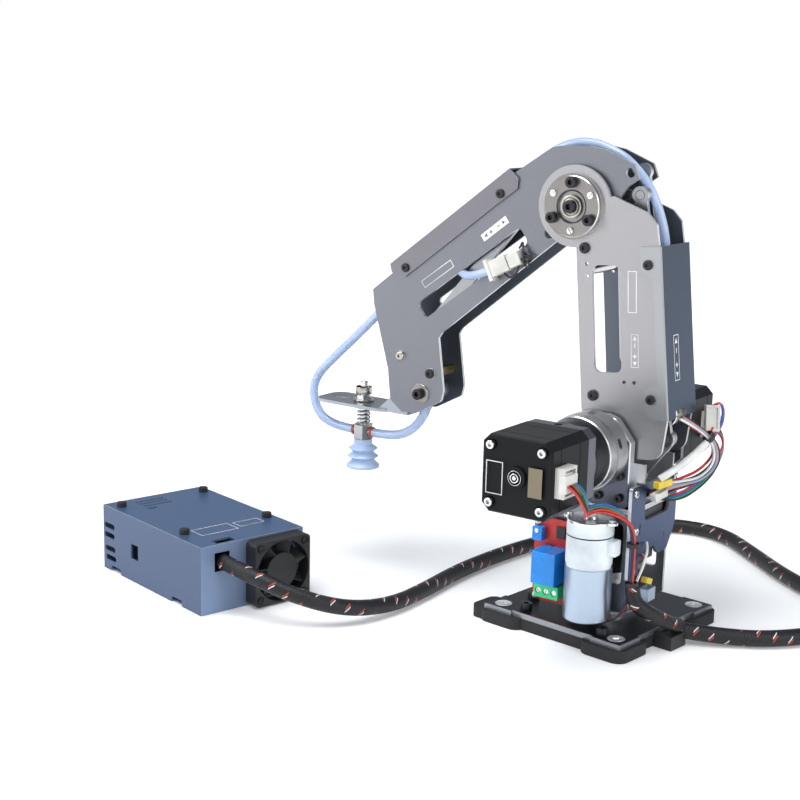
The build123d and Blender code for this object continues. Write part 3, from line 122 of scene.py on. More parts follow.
# Finishes are node materials on object coordinates. This class keeps one under construction
# and gives short ways to add nodes and to feed sockets.
class Finish:
    def __init__(self, name):
        self.material = bpy.data.materials.new(name)
        self.material.use_nodes = True
        self.tree = self.material.node_tree
        self.shader = self.tree.nodes["Principled BSDF"]
        self.coordinates = None

    def node(self, kind, **settings):
        node = self.tree.nodes.new("ShaderNode" + kind)
        for key, value in settings.items():
            setattr(node, key, value)
        return node

    def feed(self, target, source):
        """Link a socket to another, or give it a plain value."""
        if isinstance(source, bpy.types.NodeSocket):
            self.tree.links.new(source, target)
        else:
            target.default_value = source

    def put(self, **values):
        """Feed the main shader's sockets, named with underscores for spaces."""
        for key, value in values.items():
            self.feed(self.shader.inputs[key.replace("_", " ")], value)
        return self.material

    def place(self, output="Object"):
        if self.coordinates is None:
            self.coordinates = self.node("TexCoord")
        return self.coordinates.outputs[output]

    def noise(self, scale, detail, roughness=0.5):
        node = self.node("TexNoise")
        for key, value in (("Vector", self.place()), ("Scale", scale), ("Detail", detail), ("Roughness", roughness)):
            self.feed(node.inputs[key], value)
        return node.outputs["Fac"]

    def math(self, operation, first, second=0.0):
        node = self.node("Math", operation=operation)
        self.feed(node.inputs[0], first)
        self.feed(node.inputs[1], second)
        return node.outputs[0]

    def remap(self, factor, low, high, start=0.0, stop=1.0):
        node = self.node("MapRange")
        for key, value in (("Value", factor), ("From Min", start), ("From Max", stop), ("To Min", low),
                           ("To Max", high)):
            self.feed(node.inputs[key], value)
        return node.outputs["Result"]

    def ramp(self, factor, low, high, places=(0.0, 1.0)):
        node = self.node("ValToRGB")
        for element, colour, place in zip(node.color_ramp.elements, (low, high), places):
            element.color = (*colour, 1)
            element.position = place
        self.feed(node.inputs["Fac"], factor)
        return node.outputs["Color"]

    def mix(self, factor, first, second):
        node = self.node("Mix", data_type="RGBA")
        for index, value in ((0, factor), (6, first), (7, second)):
            self.feed(node.inputs[index], (*value, 1) if isinstance(value, tuple) else value)
        return node.outputs[2]

    def bump(self, height, strength, distance=0.0002):
        node = self.node("Bump")
        for key, value in (("Height", height), ("Strength", strength), ("Distance", distance)):
            self.feed(node.inputs[key], value)
        return node.outputs["Normal"]


def braid_finish():
    """Black strands woven both ways, with two red and two white tracer strands, on the sleeve's own UV map."""
    strands = 12
    pitch = 0.022
    tracer_width = 0.036
    tracer_step = 0.0088
    finish = Finish("braided_sleeve_black")
    split = finish.node("SeparateXYZ")
    finish.feed(split.inputs[0], finish.node("UVMap", uv_map="along").outputs["UV"])
    around, along = split.outputs["X"], split.outputs["Y"]

    def hill(operation):
        lane = finish.math(operation, finish.math("MULTIPLY", around, strands),
                           finish.math("MULTIPLY", along, strands / pitch))
        return finish.math("SINE", finish.math("MULTIPLY", finish.math("FRACT", lane), math.pi))

    def tracer(phase, length):
        """Where one coloured strand shows on the surface, as short slanting dashes."""
        lane = finish.math("ADD", around, finish.math("MULTIPLY", along, 1 / pitch))
        inside = finish.math("LESS_THAN", finish.math("FRACT", finish.math("ADD", lane, phase)), tracer_width)
        shown = finish.math("LESS_THAN", finish.math("FRACT", finish.math("MULTIPLY", along, 1 / tracer_step)), length)
        return finish.math("MULTIPLY", inside, shown)

    left, turn = hill("ADD"), hill("SUBTRACT")
    colour = finish.ramp(finish.math("MULTIPLY", left, turn), (0.003, 0.003, 0.004), (0.013, 0.013, 0.016), (0.0, 0.75))
    for tint, phase, length in (((0.5, 0.045, 0.03), 0.10, 0.32), ((0.7, 0.68, 0.66), 0.17, 0.3)):
        both = finish.math("MAXIMUM", tracer(phase, length), tracer(phase + 0.5, length))
        colour = finish.mix(both, colour, tint)
    raised = finish.bump(finish.math("MAXIMUM", left, turn), 0.6, 0.0004)
    return finish.put(Base_Color=colour, Normal=raised, Roughness=0.42, Specular_IOR_Level=0.4)


def hose_finish_pale():
    finish = Finish("pale_blue_hose")
    cloud = finish.noise(60.0, 4.0)
    return finish.put(Base_Color=finish.ramp(cloud, (0.42, 0.55, 0.80), (0.62, 0.74, 0.96)),
                      Roughness=finish.remap(cloud, 0.14, 0.26), Transmission_Weight=0.35, IOR=1.38,
                      Subsurface_Weight=0.15, Subsurface_Radius=(0.004, 0.004, 0.004), Coat_Weight=0.3,
                      Coat_Roughness=0.1)


def anodised_finish(name, face, edge, roughness=0.4, metallic=0.9, axis=1, bump=0.12, end=None):
    """Blasted and anodised sheet: the face colour square to the sheet, the edge colour on cut edges, end along x. On
    the control box these three colours are painted light: end walls lighter and long walls darker than the top.
    """
    spread = 0.06
    finish = Finish(name)
    split = finish.node("SeparateXYZ")
    finish.feed(split.inputs[0], finish.place("Normal"))
    square = finish.remap(finish.math("ABSOLUTE", split.outputs[axis]), 0.0, 1.0, 0.72, 0.96)
    fine = finish.noise(900.0, 3.0, 0.6)
    cloud = finish.noise(14.0, 3.0)
    if end:
        edge = finish.mix(finish.math("GREATER_THAN", finish.math("ABSOLUTE", split.outputs[0]), 0.8), edge, end)
    shade = finish.math("MULTIPLY", finish.remap(cloud, 1 - spread, 1 + spread),
                        finish.remap(fine, 1 - spread * 0.8, 1 + spread * 0.8))
    colour = finish.node("VectorMath", operation="SCALE")
    finish.feed(colour.inputs[0], finish.mix(square, edge, face))
    finish.feed(colour.inputs["Scale"], shade)
    return finish.put(Base_Color=colour.outputs["Vector"], Metallic=metallic, Normal=finish.bump(fine, bump),
                      Roughness=finish.remap(cloud, roughness - 0.06, roughness + 0.08))


def rubber_finish(name, colour, roughness=0.7, **more):
    """Moulded rubber or plastic with slight clouding and a fine grain."""
    finish = Finish(name)
    fine = finish.noise(700.0, 4.0)
    dust = finish.noise(35.0, 5.0)
    tint = finish.ramp(dust, [c * 0.75 for c in colour], [c * 1.35 for c in colour], (0.3, 0.75))
    return finish.put(Base_Color=tint, Roughness=finish.remap(dust, roughness - 0.1, roughness + 0.1),
                      Normal=finish.bump(fine, 0.2), **more)


def motor_black_finish():
    finish = Finish("motor_black_paint")
    smudge = finish.noise(22.0, 4.0)
    return finish.put(Base_Color=finish.ramp(smudge, (0.004, 0.004, 0.005), (0.010, 0.011, 0.012)),
                      Roughness=finish.remap(smudge, 0.32, 0.5), Normal=finish.bump(finish.noise(320.0, 4.0), 0.15),
                      Specular_IOR_Level=0.14)


def cup_finish():
    finish = Finish("cup_pale_blue_silicone")
    tint = finish.ramp(finish.noise(90.0, 4.0), (0.46, 0.60, 0.86), (0.66, 0.80, 1.0))
    return finish.put(Base_Color=tint, Roughness=0.3, Transmission_Weight=0.25, Subsurface_Weight=0.3,
                      Subsurface_Radius=(0.003, 0.004, 0.005))


def lead_finish(name, colour):
    finish = Finish(name)
    tint = finish.ramp(finish.noise(130.0, 3.0), [c * 0.7 for c in colour], [min(1, c * 1.25) for c in colour])
    return finish.put(Base_Color=tint, Roughness=0.38)


def dress(material, *nodes):
    """Give CAD pieces their real finish."""
    for node in nodes:
        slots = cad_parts[node].material_slots
        if not slots:
            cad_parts[node].data.materials.append(material)
        for slot in slots:
            slot.material = material


def fit(piece, material, body):
    """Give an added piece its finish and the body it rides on."""
    piece.data.materials.clear()
    piece.data.materials.append(material)
    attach(piece, body)
    return piece


# The harness is a black braided sleeve over the wires, with short red and white tracer
# dashes woven into it. It leaves the clip at the base's edge, lies in a wide loop round the
# front of the arm and rises into the control box. A tube is made along a smooth spline.
def curve_between(name, points, radius):
    """A smooth round lead along given points in millimetres."""
    data = bpy.data.curves.new(name, "CURVE")
    data.dimensions = "3D"
    line = data.splines.new("NURBS")
    line.points.add(len(points) - 1)
    for point, place in zip(line.points, points):
        point.co = (*[c * MM for c in place], 1)
    line.order_u = 3
    line.use_endpoint_u = True
    line.resolution_u = 8
    data.bevel_depth = radius * MM
    data.bevel_resolution = 4
    data.use_fill_caps = True
    return add_object(name, data)


def spline_places(points):
    """Places read from a spline with no thickness, to run a woven tube along."""
    guide = curve_between("guide", points, 0.0)
    guide.data.bevel_depth = 0
    guide.data.splines[0].resolution_u = 14
    bpy.context.view_layer.update()
    mesh = bpy.data.meshes.new_from_object(guide.evaluated_get(bpy.context.evaluated_depsgraph_get()))
    places = [v.co.copy() for v in mesh.vertices]
    bpy.data.meshes.remove(mesh)
    bpy.data.objects.remove(guide)
    return places


def choose(piece):
    bpy.ops.object.select_all(action="DESELECT")
    bpy.context.view_layer.objects.active = piece
    piece.select_set(True)


def made_mesh(piece):
    """Turn a lead's curve into a plain mesh, for one that crosses a joint."""
    choose(piece)
    bpy.ops.object.convert(target="MESH")
    return bpy.context.object


def woven_tube(name, places, radius):
    """A tube whose UV map runs round it and along it in metres."""
    around = 28
    work = bmesh.new()
    uv = work.loops.layers.uv.new("along")
    normal = None
    rings = []
    run = 0.0
    runs = []
    for i, place in enumerate(places):
        ahead = places[min(i + 1, len(places) - 1)] - places[max(i - 1, 0)]
        ahead.normalize()
        if normal is None:
            normal = ahead.cross(Vector(UP)).normalized()
        normal = (normal - ahead * normal.dot(ahead)).normalized()
        other = ahead.cross(normal)
        ring = []
        for k in range(around):
            turn = 2 * math.pi * k / around
            ring.append(work.verts.new(place + (normal * math.cos(turn) + other * math.sin(turn)) * radius))
        rings.append(ring)
        if i:
            run += (place - places[i - 1]).length
        runs.append(run)
    for i in range(len(rings) - 1):
        for k in range(around):
            nxt = (k + 1) % around
            face = work.faces.new((rings[i][k], rings[i][nxt], rings[i + 1][nxt], rings[i + 1][k]))
            face.smooth = True
            spots = ((k, i), (k + 1, i), (k + 1, i + 1), (k, i + 1))
            for loop, (c, r) in zip(face.loops, spots):
                loop[uv].uv = (c / around, runs[r])
    work.faces.new(list(reversed(rings[0])))
    work.faces.new(rings[-1])
    return built_mesh(name, work)


harness_route = [
    (-53.0, 5.0, 8.0), (-78.0, -8.0, 5.2), (-103.0, -26.0, 5.0), (-121.0, -54.0, 5.0), (-118.0, -87.0, 5.0),
    (-96.0, -112.0, 5.0), (-62.0, -135.0, 5.0), (-28.0, -166.0, 5.0), (6.0, -196.0, 5.0), (42.0, -196.0, 5.0),
    (67.0, -168.0, 5.0), (84.0, -130.0, 5.0), (98.0, -92.0, 5.0), (104.0, -50.0, 5.0), (106.0, -8.0, 5.0),
    (102.0, 34.0, 5.0), (101.0, 70.0, 5.6), (110.0, 102.0, 10.0), (132.0, 121.0, 18.0), (158.0, 130.5, 27.5),
    (181.7, 128.9, 31.0),
]
harness_places = spline_places(harness_route)
harness = woven_tube("harness_sleeve", harness_places, 0.0047)
braid = braid_finish()
harness.data.materials.append(braid)
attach(harness, "base")
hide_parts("harness")


# The air tubes are soft pale-blue hose: one front loop from the air block up under the
# forearm's cover, a short rear loop to the bracket, and one over the elbow.
def add_hose(name, points, radius, body=None, bend=None, stands_for=None):
    """A hose that rides on one body, or, when bend is given, is a plain mesh on no body; the bodies and points in bend
    are not read.
    """
    hose = curve_between(name, points, radius)
    hose.data.materials.append(hose_finish)
    if bend:
        hose = made_mesh(hose)
        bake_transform(hose)
    else:
        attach(hose, body)
    if stands_for:
        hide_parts(stands_for)


hose_finish = hose_finish_pale()
add_hose("front_hose", [
    (184.0, 0, AIR_LINE_Z), (205.0, 0, AIR_LINE_Z), (217.2, 0, 100.1), (217.2, 0, 117.3), (199.5, 0, 134.4),
    (176.0, 0, 155.4), (155.0, 0, 175.9),
], 2.9, bend=("tool_bracket", "forearm", (0.19, 0, 0.10), (0.16, 0, 0.168)), stands_for="tool_tube_front")
add_hose("rear_hose", [
    (168.0, 0, AIR_LINE_Z), (155.0, 0, AIR_LINE_Z), (142.0, 1.0, 91.4), (132.0, 2.0, 98.9), (126.0, 2.5, 107.9),
    (124.2, 2.5, 113.0),
], 2.9, body="tool_bracket", stands_for="tool_tube_rear")
add_hose("elbow_hose_rear", [
    (-31.0, 0, 212), (-29.6, 0, 227), (-25.0, 0, 242), (-17.5, 0, 257), (-5.0, 0, 269.5), (6.0, 0, 275.0),
    (14.0, 0, 277.4),
], 2.6, bend=("upper_arm", "level_triangle", (-0.030, 0, 0.226), (0.004, 0, 0.274)), stands_for="elbow_tube")
add_hose("elbow_hose_front", [
    (13.6, 0, 277.4), (22.0, 0, 279.0), (36.0, 0, 277.0), (51.0, 0, 268.0), (66.0, 0, 255.5), (80.0, 0, 243.0),
], 2.6, bend=("level_triangle", "forearm", (0.020, 0, 0.278), (0.052, 0, 0.262)))


# The room: a white floor that glows softly and more so far away, light from a wide panel
# above, weaker ones at the left and behind, and a surround bright at the horizon.
bpy.ops.mesh.primitive_plane_add(size=80, location=(0, 0, -0.0002))
floor = bpy.context.object
floor.name = "floor"
floor_finish = Finish("pale_floor")
far_off = floor_finish.node("VectorMath", operation="LENGTH")
floor_finish.feed(far_off.inputs[0], floor_finish.place())
floor.data.materials.append(floor_finish.put(
    Base_Color=(0.9, 0.9, 0.9, 1), Roughness=0.8, Specular_IOR_Level=0.1, Emission_Color=(1, 1, 1, 1),
    Emission_Strength=floor_finish.remap(far_off.outputs["Value"], 0.16, 0.85, 0.3, 1.1)))


def light_panel(name, place, aim, size, power):
    panel = add_object(name, bpy.data.lights.new(name, "AREA"))
    panel.data.shape = "DISK"
    panel.data.size = size
    panel.data.energy = power
    direction = Vector(aim) - Vector(place)
    panel.matrix_world = Matrix.Translation(place) @ direction.to_track_quat("-Z", "Y").to_matrix().to_4x4()


light_panel("top_panel", (0.25, 0.45, 1.5), (0, 0, 0.1), 1.1, 21)
light_panel("left_panel", (1.3, 1.2, 0.8), (0, 0, 0.15), 0.8, 12)
light_panel("rear_panel", (-1.3, 0.3, 0.8), (0, 0, 0.15), 0.7, 9)
world = bpy.data.worlds.new("studio")
bpy.context.scene.world = world
world.use_nodes = True
sky_nodes = world.node_tree.nodes
sky_place = sky_nodes.new("ShaderNodeTexCoord")
sky_height = sky_nodes.new("ShaderNodeSeparateXYZ")
sky_ramp = sky_nodes.new("ShaderNodeValToRGB")
world.node_tree.links.new(sky_place.outputs["Generated"], sky_height.inputs[0])
world.node_tree.links.new(sky_height.outputs["Z"], sky_ramp.inputs["Fac"])
world.node_tree.links.new(sky_ramp.outputs["Color"], sky_nodes["Background"].inputs["Color"])
horizon, overhead = sky_ramp.color_ramp.elements
horizon.position = 0.10
horizon.color = (1.0, 1.0, 1.0, 1)
overhead.position = 0.34
overhead.color = (0.20, 0.23, 0.28, 1)
sky_nodes["Background"].inputs["Strength"].default_value = 1.0
bpy.context.scene.view_settings.view_transform = "Standard"


# The base is a graphite anodised plate with bright chamfered edges on a black rubber pad.
# Its finish shows fine blasting grain; wear brightens what isn't flat.
graphite = anodised_finish("graphite_anodised", (0.012, 0.018, 0.027), (0.30, 0.31, 0.33), 0.34, 0.85, axis=2)
pad_rubber = rubber_finish("pad_rubber_black", (0.012, 0.012, 0.013))
bright_silver = anodised_finish("bright_silver", (0.66, 0.66, 0.66), (0.78, 0.78, 0.77), 0.26, 1.0, axis=2, bump=0.05)
black_moulded = rubber_finish("black_moulded", (0.016, 0.016, 0.017), 0.5)
dress(graphite, "base_plate")
dress(pad_rubber, "base_pad")
dress(bright_silver, "waist_flange")
dress(black_moulded, "harness_clip")


# Screws are modelled once each and copied: cap screws with a hexagon socket, button heads,
# countersunk heads and slotted cheese heads. All stand on local +Z with their seat at zero.
def pick_faces(piece, test):
    """Enter edit mode with only those faces chosen that pass a test."""
    bpy.ops.object.mode_set(mode="EDIT")
    bpy.ops.mesh.select_all(action="DESELECT")
    bpy.ops.object.mode_set(mode="OBJECT")
    for polygon in piece.data.polygons:
        polygon.select = test(polygon)
    bpy.ops.object.mode_set(mode="EDIT")
    bpy.ops.mesh.select_mode(type="FACE")


def start_round(name, radius, height, sides=32, low=0.0):
    """A round blank on local Z."""
    bpy.ops.object.select_all(action="DESELECT")
    bpy.ops.mesh.primitive_cylinder_add(vertices=sides, radius=radius * MM, depth=height * MM,
                                        location=(0, 0, (low + height / 2) * MM))
    piece = bpy.context.object
    piece.name = name
    bpy.ops.object.transform_apply(location=True, rotation=True, scale=True)
    return piece


def cube_blank(name, middle, sides):
    """A plain block about a middle point, in millimetres."""
    bpy.ops.object.select_all(action="DESELECT")
    bpy.ops.mesh.primitive_cube_add(size=1, location=[c * MM for c in middle])
    piece = bpy.context.object
    piece.name = name
    piece.scale = [c * MM for c in sides]
    bpy.ops.object.transform_apply(location=True, rotation=True, scale=True)
    return piece


def soften_rims(piece, width):
    soft = piece.modifiers.new("soft", "BEVEL")
    soft.width = width * MM
    soft.segments = 2
    bpy.ops.object.modifier_apply(modifier="soft")


def cut_away(piece, tool):
    """Cut one blank with another and drop the second."""
    knife = piece.modifiers.new("cut", "BOOLEAN")
    knife.operation = "DIFFERENCE"
    knife.solver = "EXACT"
    knife.object = tool
    choose(piece)
    bpy.ops.object.modifier_apply(modifier="cut")
    bpy.data.objects.remove(tool)


models = []


def head_blank(name, radius, height, soften, socket=None, slot=None):
    """A screw head with a rounded top, and a hexagon socket or a slot in it."""
    piece = start_round(name, radius, height)
    pick_faces(piece, lambda p: p.normal.z > 0.9)
    bpy.ops.mesh.bevel(offset=soften * MM, segments=3, affect="EDGES")
    bpy.ops.object.mode_set(mode="OBJECT")
    if socket:
        cut_away(piece, start_round("socket_tool", socket, height, 6, height * 0.45))
    if slot:
        cut_away(piece, cube_blank("slot_tool", (0, 0, height), (radius * 2.4, slot, height * 0.9)))
    choose(piece)
    bpy.ops.object.shade_smooth_by_angle(angle=math.radians(35))
    models.append(piece)
    return piece


def ring_blank(name, outer, inner, height, soften):
    """A flat ring on local Z with softened rims."""
    piece = start_round(name, outer, height, 48)
    cut_away(piece, start_round("bore_tool", inner, height * 3, 48, -height))
    soften_rims(piece, soften)
    bpy.ops.object.shade_smooth_by_angle(angle=math.radians(35))
    models.append(piece)
    return piece


def place_copy(model, name, at, axis, body, material, spin=0.0, size=1.0):
    """Copy a finished model onto a point in millimetres, standing along an axis."""
    mesh = model.data.copy()
    turn = Vector(axis).to_track_quat("Z", "Y").to_matrix().to_4x4() @ Matrix.Rotation(spin, 4, "Z")
    mesh.transform(Matrix.Translation(Vector(at) * MM) @ turn @ Matrix.Scale(size, 4))
    fit(add_object(name, mesh), material, body)


def place_row(model, name, places, axis, body, material, size=1.0, spin=0.0, step=0.0):
    """Numbered copies at several places, each turned by a step more than the last."""
    for index, place in enumerate(places):
        place_copy(model, f"{name}{index}", place, axis, body, material, spin + step * index, size)


bright_zinc = anodised_finish("screw_bright_zinc", (0.93, 0.93, 0.92), (0.95, 0.95, 0.94), 0.3, 0.85, axis=2, bump=0.03)
steel_bright = anodised_finish("screw_steel", (0.62, 0.62, 0.61), (0.66, 0.66, 0.65), 0.24, 1.0, axis=2, bump=0.03)
steel_black = anodised_finish("screw_black_oxide", (0.025, 0.025, 0.027), (0.03, 0.03, 0.033), 0.36, 0.6, axis=2,
                              bump=0.05)
cap_head = head_blank("cap_head", 2.75, 3.0, 0.35, socket=1.45)
button_head = head_blank("button_head", 2.85, 1.6, 0.75, socket=1.2)
flush_head = head_blank("flush_head", 4.9, 2.2, 0.12, socket=1.9)
slotted_head = head_blank("slotted_head", 2.6, 1.5, 0.3, slot=0.7)
small_head = head_blank("small_head", 1.7, 1.1, 0.35, socket=0.75)
thin_washer = head_blank("thin_washer", 3.7, 0.6, 0.12, socket=1.4)


def on_base(x, y, z):
    return (x * math.cos(BASE_YAW) - y * math.sin(BASE_YAW), x * math.sin(BASE_YAW) + y * math.cos(BASE_YAW), z)


place_row(flush_head, "corner_screw_", [on_base(40 * x, 40 * y, 7.9) for x, y in CORNERS], UP, "base", bright_zinc,
          step=0.3)
place_row(cap_head, "plate_screw_", [on_base(24.5, 38.1, 9.95), on_base(34.0, 18.8, 9.95), on_base(-30.2, 39.6, 9.95)],
          UP, "base", steel_black, 1.25, step=0.2)
place_row(small_head, "flange_screw_", [
    (18 * math.cos(math.radians(60 * i)), 18 * math.sin(math.radians(60 * i)), 11.2) for i in range(6)], UP, "base",
    steel_black, 1.35, 0.1)


# The turret is bent aluminium sheet on the waist motor: deck, side plates, rear plate and octagonal gearbox mounts, all
# clear anodised, with bright cut edges. The rear plate and the gearbox mounts get darker, bluer copies of that sheet's
# colour as painted shade.
sheet_side = anodised_finish("turret_sheet_side", (0.20, 0.21, 0.23), (0.62, 0.63, 0.64), 0.32, 0.92)
# painted shade: the rear plate's dark slate-blue tone stands for shade on the clear anodised sheet
rear_sheet_painted_shade = anodised_finish("turret_sheet_rear", (0.048, 0.076, 0.155), (0.55, 0.57, 0.6), 0.34, 0.85, axis=0)
sheet_deck = anodised_finish("turret_sheet_deck", (0.22, 0.24, 0.27), (0.5, 0.51, 0.53), 0.32, 0.92, axis=2)
# painted shade: the gearbox mounts' darker grey stands for shade on the clear anodised sheet
mount_sheet_painted_shade = anodised_finish("turret_sheet_mount", (0.085, 0.095, 0.118), (0.62, 0.63, 0.64), 0.3, 0.92)
dress(sheet_side, "side_plate_near", "side_plate_far")
dress(mount_sheet_painted_shade, "mount_plate_near", "mount_plate_far")
dress(rear_sheet_painted_shade, "rear_plate")
dress(sheet_deck, "turret_deck")
dress(black_moulded, "limit_switch")


def on_face(axis, y, *offsets):
    """Places on a sheet at one y, given as x and z from one of the arm's axes."""
    return [(axis[0] + x, y, axis[1] + z) for x, z in offsets]


for side, label in SIDES:
    place_row(cap_head, f"mount_screw_{label}", on_face(
        SHOULDER, side * MOUNT_FACE, (-17.5, -13.6), (-17.6, -26.0), (-4.7, -26.5), (17.5, -13.6), (17.6, -26.0),
        (4.7, -26.5)), (0, side, 0), "turret", steel_black, 0.82, step=0.4)
place_row(button_head, "rear_plate_screw_", [
    (-32.0, y, z) for y, z in ((24.5, 88), (-24.5, 88), (24.5, 43), (23.0, 66))], (-1, 0, 0), "turret", steel_bright,
    0.8, step=0.3)


# Stepper motors: black laminated bodies with a ground steel rear cap and front flange, a
# stack of square silver adapter, dark ring gear and turned silver housing before each.
motor_black = motor_black_finish()
turned_silver = anodised_finish("turned_silver", (0.36, 0.37, 0.38), (0.62, 0.63, 0.63), 0.3, 1.0, bump=0.05)
adapter_steel = anodised_finish("adapter_steel", (0.16, 0.17, 0.18), (0.15, 0.16, 0.18), 0.36, 0.95, bump=0.05)
ring_dark = anodised_finish("ring_gear_dark", (0.03, 0.033, 0.038), (0.028, 0.03, 0.034), 0.34, 0.9, bump=0.02)
white_moulded = rubber_finish("white_moulded", (0.62, 0.61, 0.57), 0.4)
dress(motor_black, "motor_near", "motor_far", "waist_motor")
dress(turned_silver, "gear_housing_near", "gear_housing_far", "waist_gearbox")
dress(adapter_steel, "gear_adapter_near", "gear_adapter_far")
dress(ring_dark, "gear_ring_near", "gear_ring_far")
dress(white_moulded, "motor_sockets")
boss_ring = ring_blank("boss_ring", 4.0, 3.7, 0.5, 0.1)
inner_ring = ring_blank("inner_ring", 2.6, 1.9, 0.8, 0.2)
shaft_end = head_blank("shaft_end", 1.2, 0.9, 0.3)
for label, side, face in MOTOR_ENDS:
    place_row(cap_head, f"motor_screw_{label}_", on_face(
        SHOULDER, side * (face - 1.7), *[(15.5 * x, 15.5 * z) for x, z in CORNERS]), (0, side, 0), "turret",
        steel_bright, 0.86, step=0.5)
for label, side, face in MOTOR_ENDS:
    for model, part in ((boss_ring, "rim"), (inner_ring, "bearing"), (shaft_end, "shaft_end")):
        place_copy(model, f"motor_{part}_{label}", (SHOULDER[0], side * (face + 0.1), SHOULDER[1]), (0, side, 0),
                   "turret", steel_bright)


# The air pump: a steel can motor under a white moulded head with a capped top and nozzles.
# The relay: a red board on standoffs with a blue relay, green terminal and small parts.
steel_can = anodised_finish("pump_can_steel", (0.42, 0.50, 0.60), (0.44, 0.53, 0.64), 0.3, 0.95, axis=2, bump=0.04)
pump_white = rubber_finish("pump_head_white", (0.74, 0.80, 0.84), 0.36, Subsurface_Weight=0.35,
                           Subsurface_Radius=(0.004, 0.004, 0.004))
dress(steel_can, "pump_motor")
dress(pump_white, "pump_head")
dress(bright_silver, "pump_cap")
seal_ring = ring_blank("seal_ring", 13.28, 12.85, 0.7, 0.1)
nozzle_sleeve = ring_blank("nozzle_sleeve", 2.7, 2.12, 6.0, 0.2)
place_copy(seal_ring, "pump_seal", (*PUMP_PLACE, 64.05), UP, "turret", steel_black)
place_copy(nozzle_sleeve, "pump_nozzle", (*PUMP_PLACE, 74.8), UP, "turret", pump_white)
place_row(small_head, "pump_screw_", [(PUMP_PLACE[0] + reach, PUMP_PLACE[1], 73.6) for reach in (13.3, -13.3)], UP,
          "turret", steel_bright, 1.1, 0.4)
board_red = rubber_finish("board_red_lacquer", (0.46, 0.018, 0.014), 0.32)
relay_blue = rubber_finish("relay_blue_case", (0.006, 0.20, 0.62), 0.26)
terminal_green = rubber_finish("terminal_green_case", (0.02, 0.52, 0.20), 0.36)
chip_black = rubber_finish("chip_black", (0.014, 0.014, 0.015), 0.45)
dress(board_red, "relay_board")
dress(relay_blue, "relay")
dress(terminal_green, "relay_terminal")
place_row(slotted_head, "terminal_screw_", [(14.8 + reach, 36.9, 24.5) for reach in (-5.08, 0, 5.08)], NEAR, "turret",
          steel_bright, 0.66, 0.4, 1.0)
place_row(button_head, "board_screw_", [(6, BOARD_FACE, 62.5), (27, BOARD_FACE, 62.5), (6, BOARD_FACE, 17.5),
                                        (27, BOARD_FACE, 17.5)], NEAR, "turret", steel_bright, 0.8, step=0.3)


def blank_block(name, low, high, soften):
    """A block between two corners in millimetres, with softened edges."""
    piece = cube_blank(name, [(a + b) / 2 for a, b in zip(low, high)], [b - a for a, b in zip(low, high)])
    bpy.ops.object.mode_set(mode="EDIT")
    bpy.ops.mesh.select_all(action="SELECT")
    bpy.ops.mesh.bevel(offset=soften * MM, segments=2, affect="EDGES")
    bpy.ops.object.mode_set(mode="OBJECT")
    return piece


for index, (x, z, wide, high, thick) in enumerate((
        (4.8, 51, 3, 2.4, 1.75), (23.6, 33, 4, 4, 1.95), (24, 40, 3, 2, 1.35), (9.0, 54.5, 5.5, 7, 1.45),
        (16.0, 47.5, 2.4, 2, 1.05))):
    low = (x, BOARD_FACE + 0.05, z)
    fit(blank_block(f"board_chip_{index}", low, (x + wide, low[1] + thick, z + high), 0.15), chip_black, "turret")
fit(blank_block("board_trimmer", (22.0, BOARD_FACE + 0.05, 52.0), (28.4, 33.0, 60.0), 0.3), relay_blue, "turret")
place_copy(slotted_head, "trimmer_screw", (25.2, 32.9, 58.0), NEAR, "turret", steel_bright, 0.8, 0.5)


# The arm's plates are laser-cut sheet, blasted and anodised a warm light silver, with bright sawn edges. The far plates
# get a darker, bluer copy of that colour as painted shade. The covers are folded slate-grey sheet.
arm_near = anodised_finish("arm_sheet_light", (0.345, 0.34, 0.35), (0.78, 0.78, 0.79), 0.36, 0.82)
fore_near = anodised_finish("forearm_sheet_light", (0.185, 0.19, 0.212), (0.74, 0.74, 0.76), 0.36, 0.82)
# painted shade: the far plates' dark slate tone stands for shade on the same light silver sheet
far_plates_painted_shade = anodised_finish("arm_sheet_shadow", (0.11, 0.125, 0.15), (0.6, 0.61, 0.63), 0.4, 0.82)
cover_sheet = anodised_finish("cover_slate", (0.036, 0.056, 0.092), (0.35, 0.36, 0.37), 0.36, 0.8, axis=0)
fore_cover_sheet = anodised_finish("fore_cover_slate", (0.20, 0.20, 0.225), (0.185, 0.18, 0.20), 0.34, 0.82, axis=2)
disc_silver = anodised_finish("disc_turned", (0.255, 0.24, 0.23), (0.68, 0.67, 0.66), 0.26, 0.95, bump=0.04)
ring_warm = anodised_finish("bearing_steel", (0.42, 0.40, 0.36), (0.52, 0.50, 0.46), 0.3, 1.0, bump=0.04)
brass = anodised_finish("post_brass", (0.62, 0.44, 0.17), (0.66, 0.48, 0.2), 0.28, 1.0, bump=0.03)
link_silver = anodised_finish("link_silver", (0.30, 0.31, 0.32), (0.62, 0.62, 0.62), 0.3, 0.95)
dress(arm_near, "upper_plate_near")
dress(fore_near, "forearm_plate_near")
dress(far_plates_painted_shade, "upper_plate_far", "forearm_plate_far")
dress(cover_sheet, "rear_cover")
dress(fore_cover_sheet, "forearm_cover")
dress(disc_silver, "elbow_disc_near", "elbow_disc_far")
dress(steel_bright, "elbow_shaft", "upper_spacers", "crank_pin", "wrist_shaft", "suction_rod")
dress(brass, "forearm_spacers")
dress(link_silver, "crank", "drive_rod", "level_rod_upper", "level_rod_lower", "level_triangle")
bearing_ring = ring_blank("bearing_ring", 6.4, 5.3, 0.9, 0.2)
sleeve_ring = ring_blank("sleeve_ring", 4.6, 3.9, 1.4, 0.2)
groove_ring = ring_blank("groove_ring", 9.3, 8.7, 0.16, 0.03)
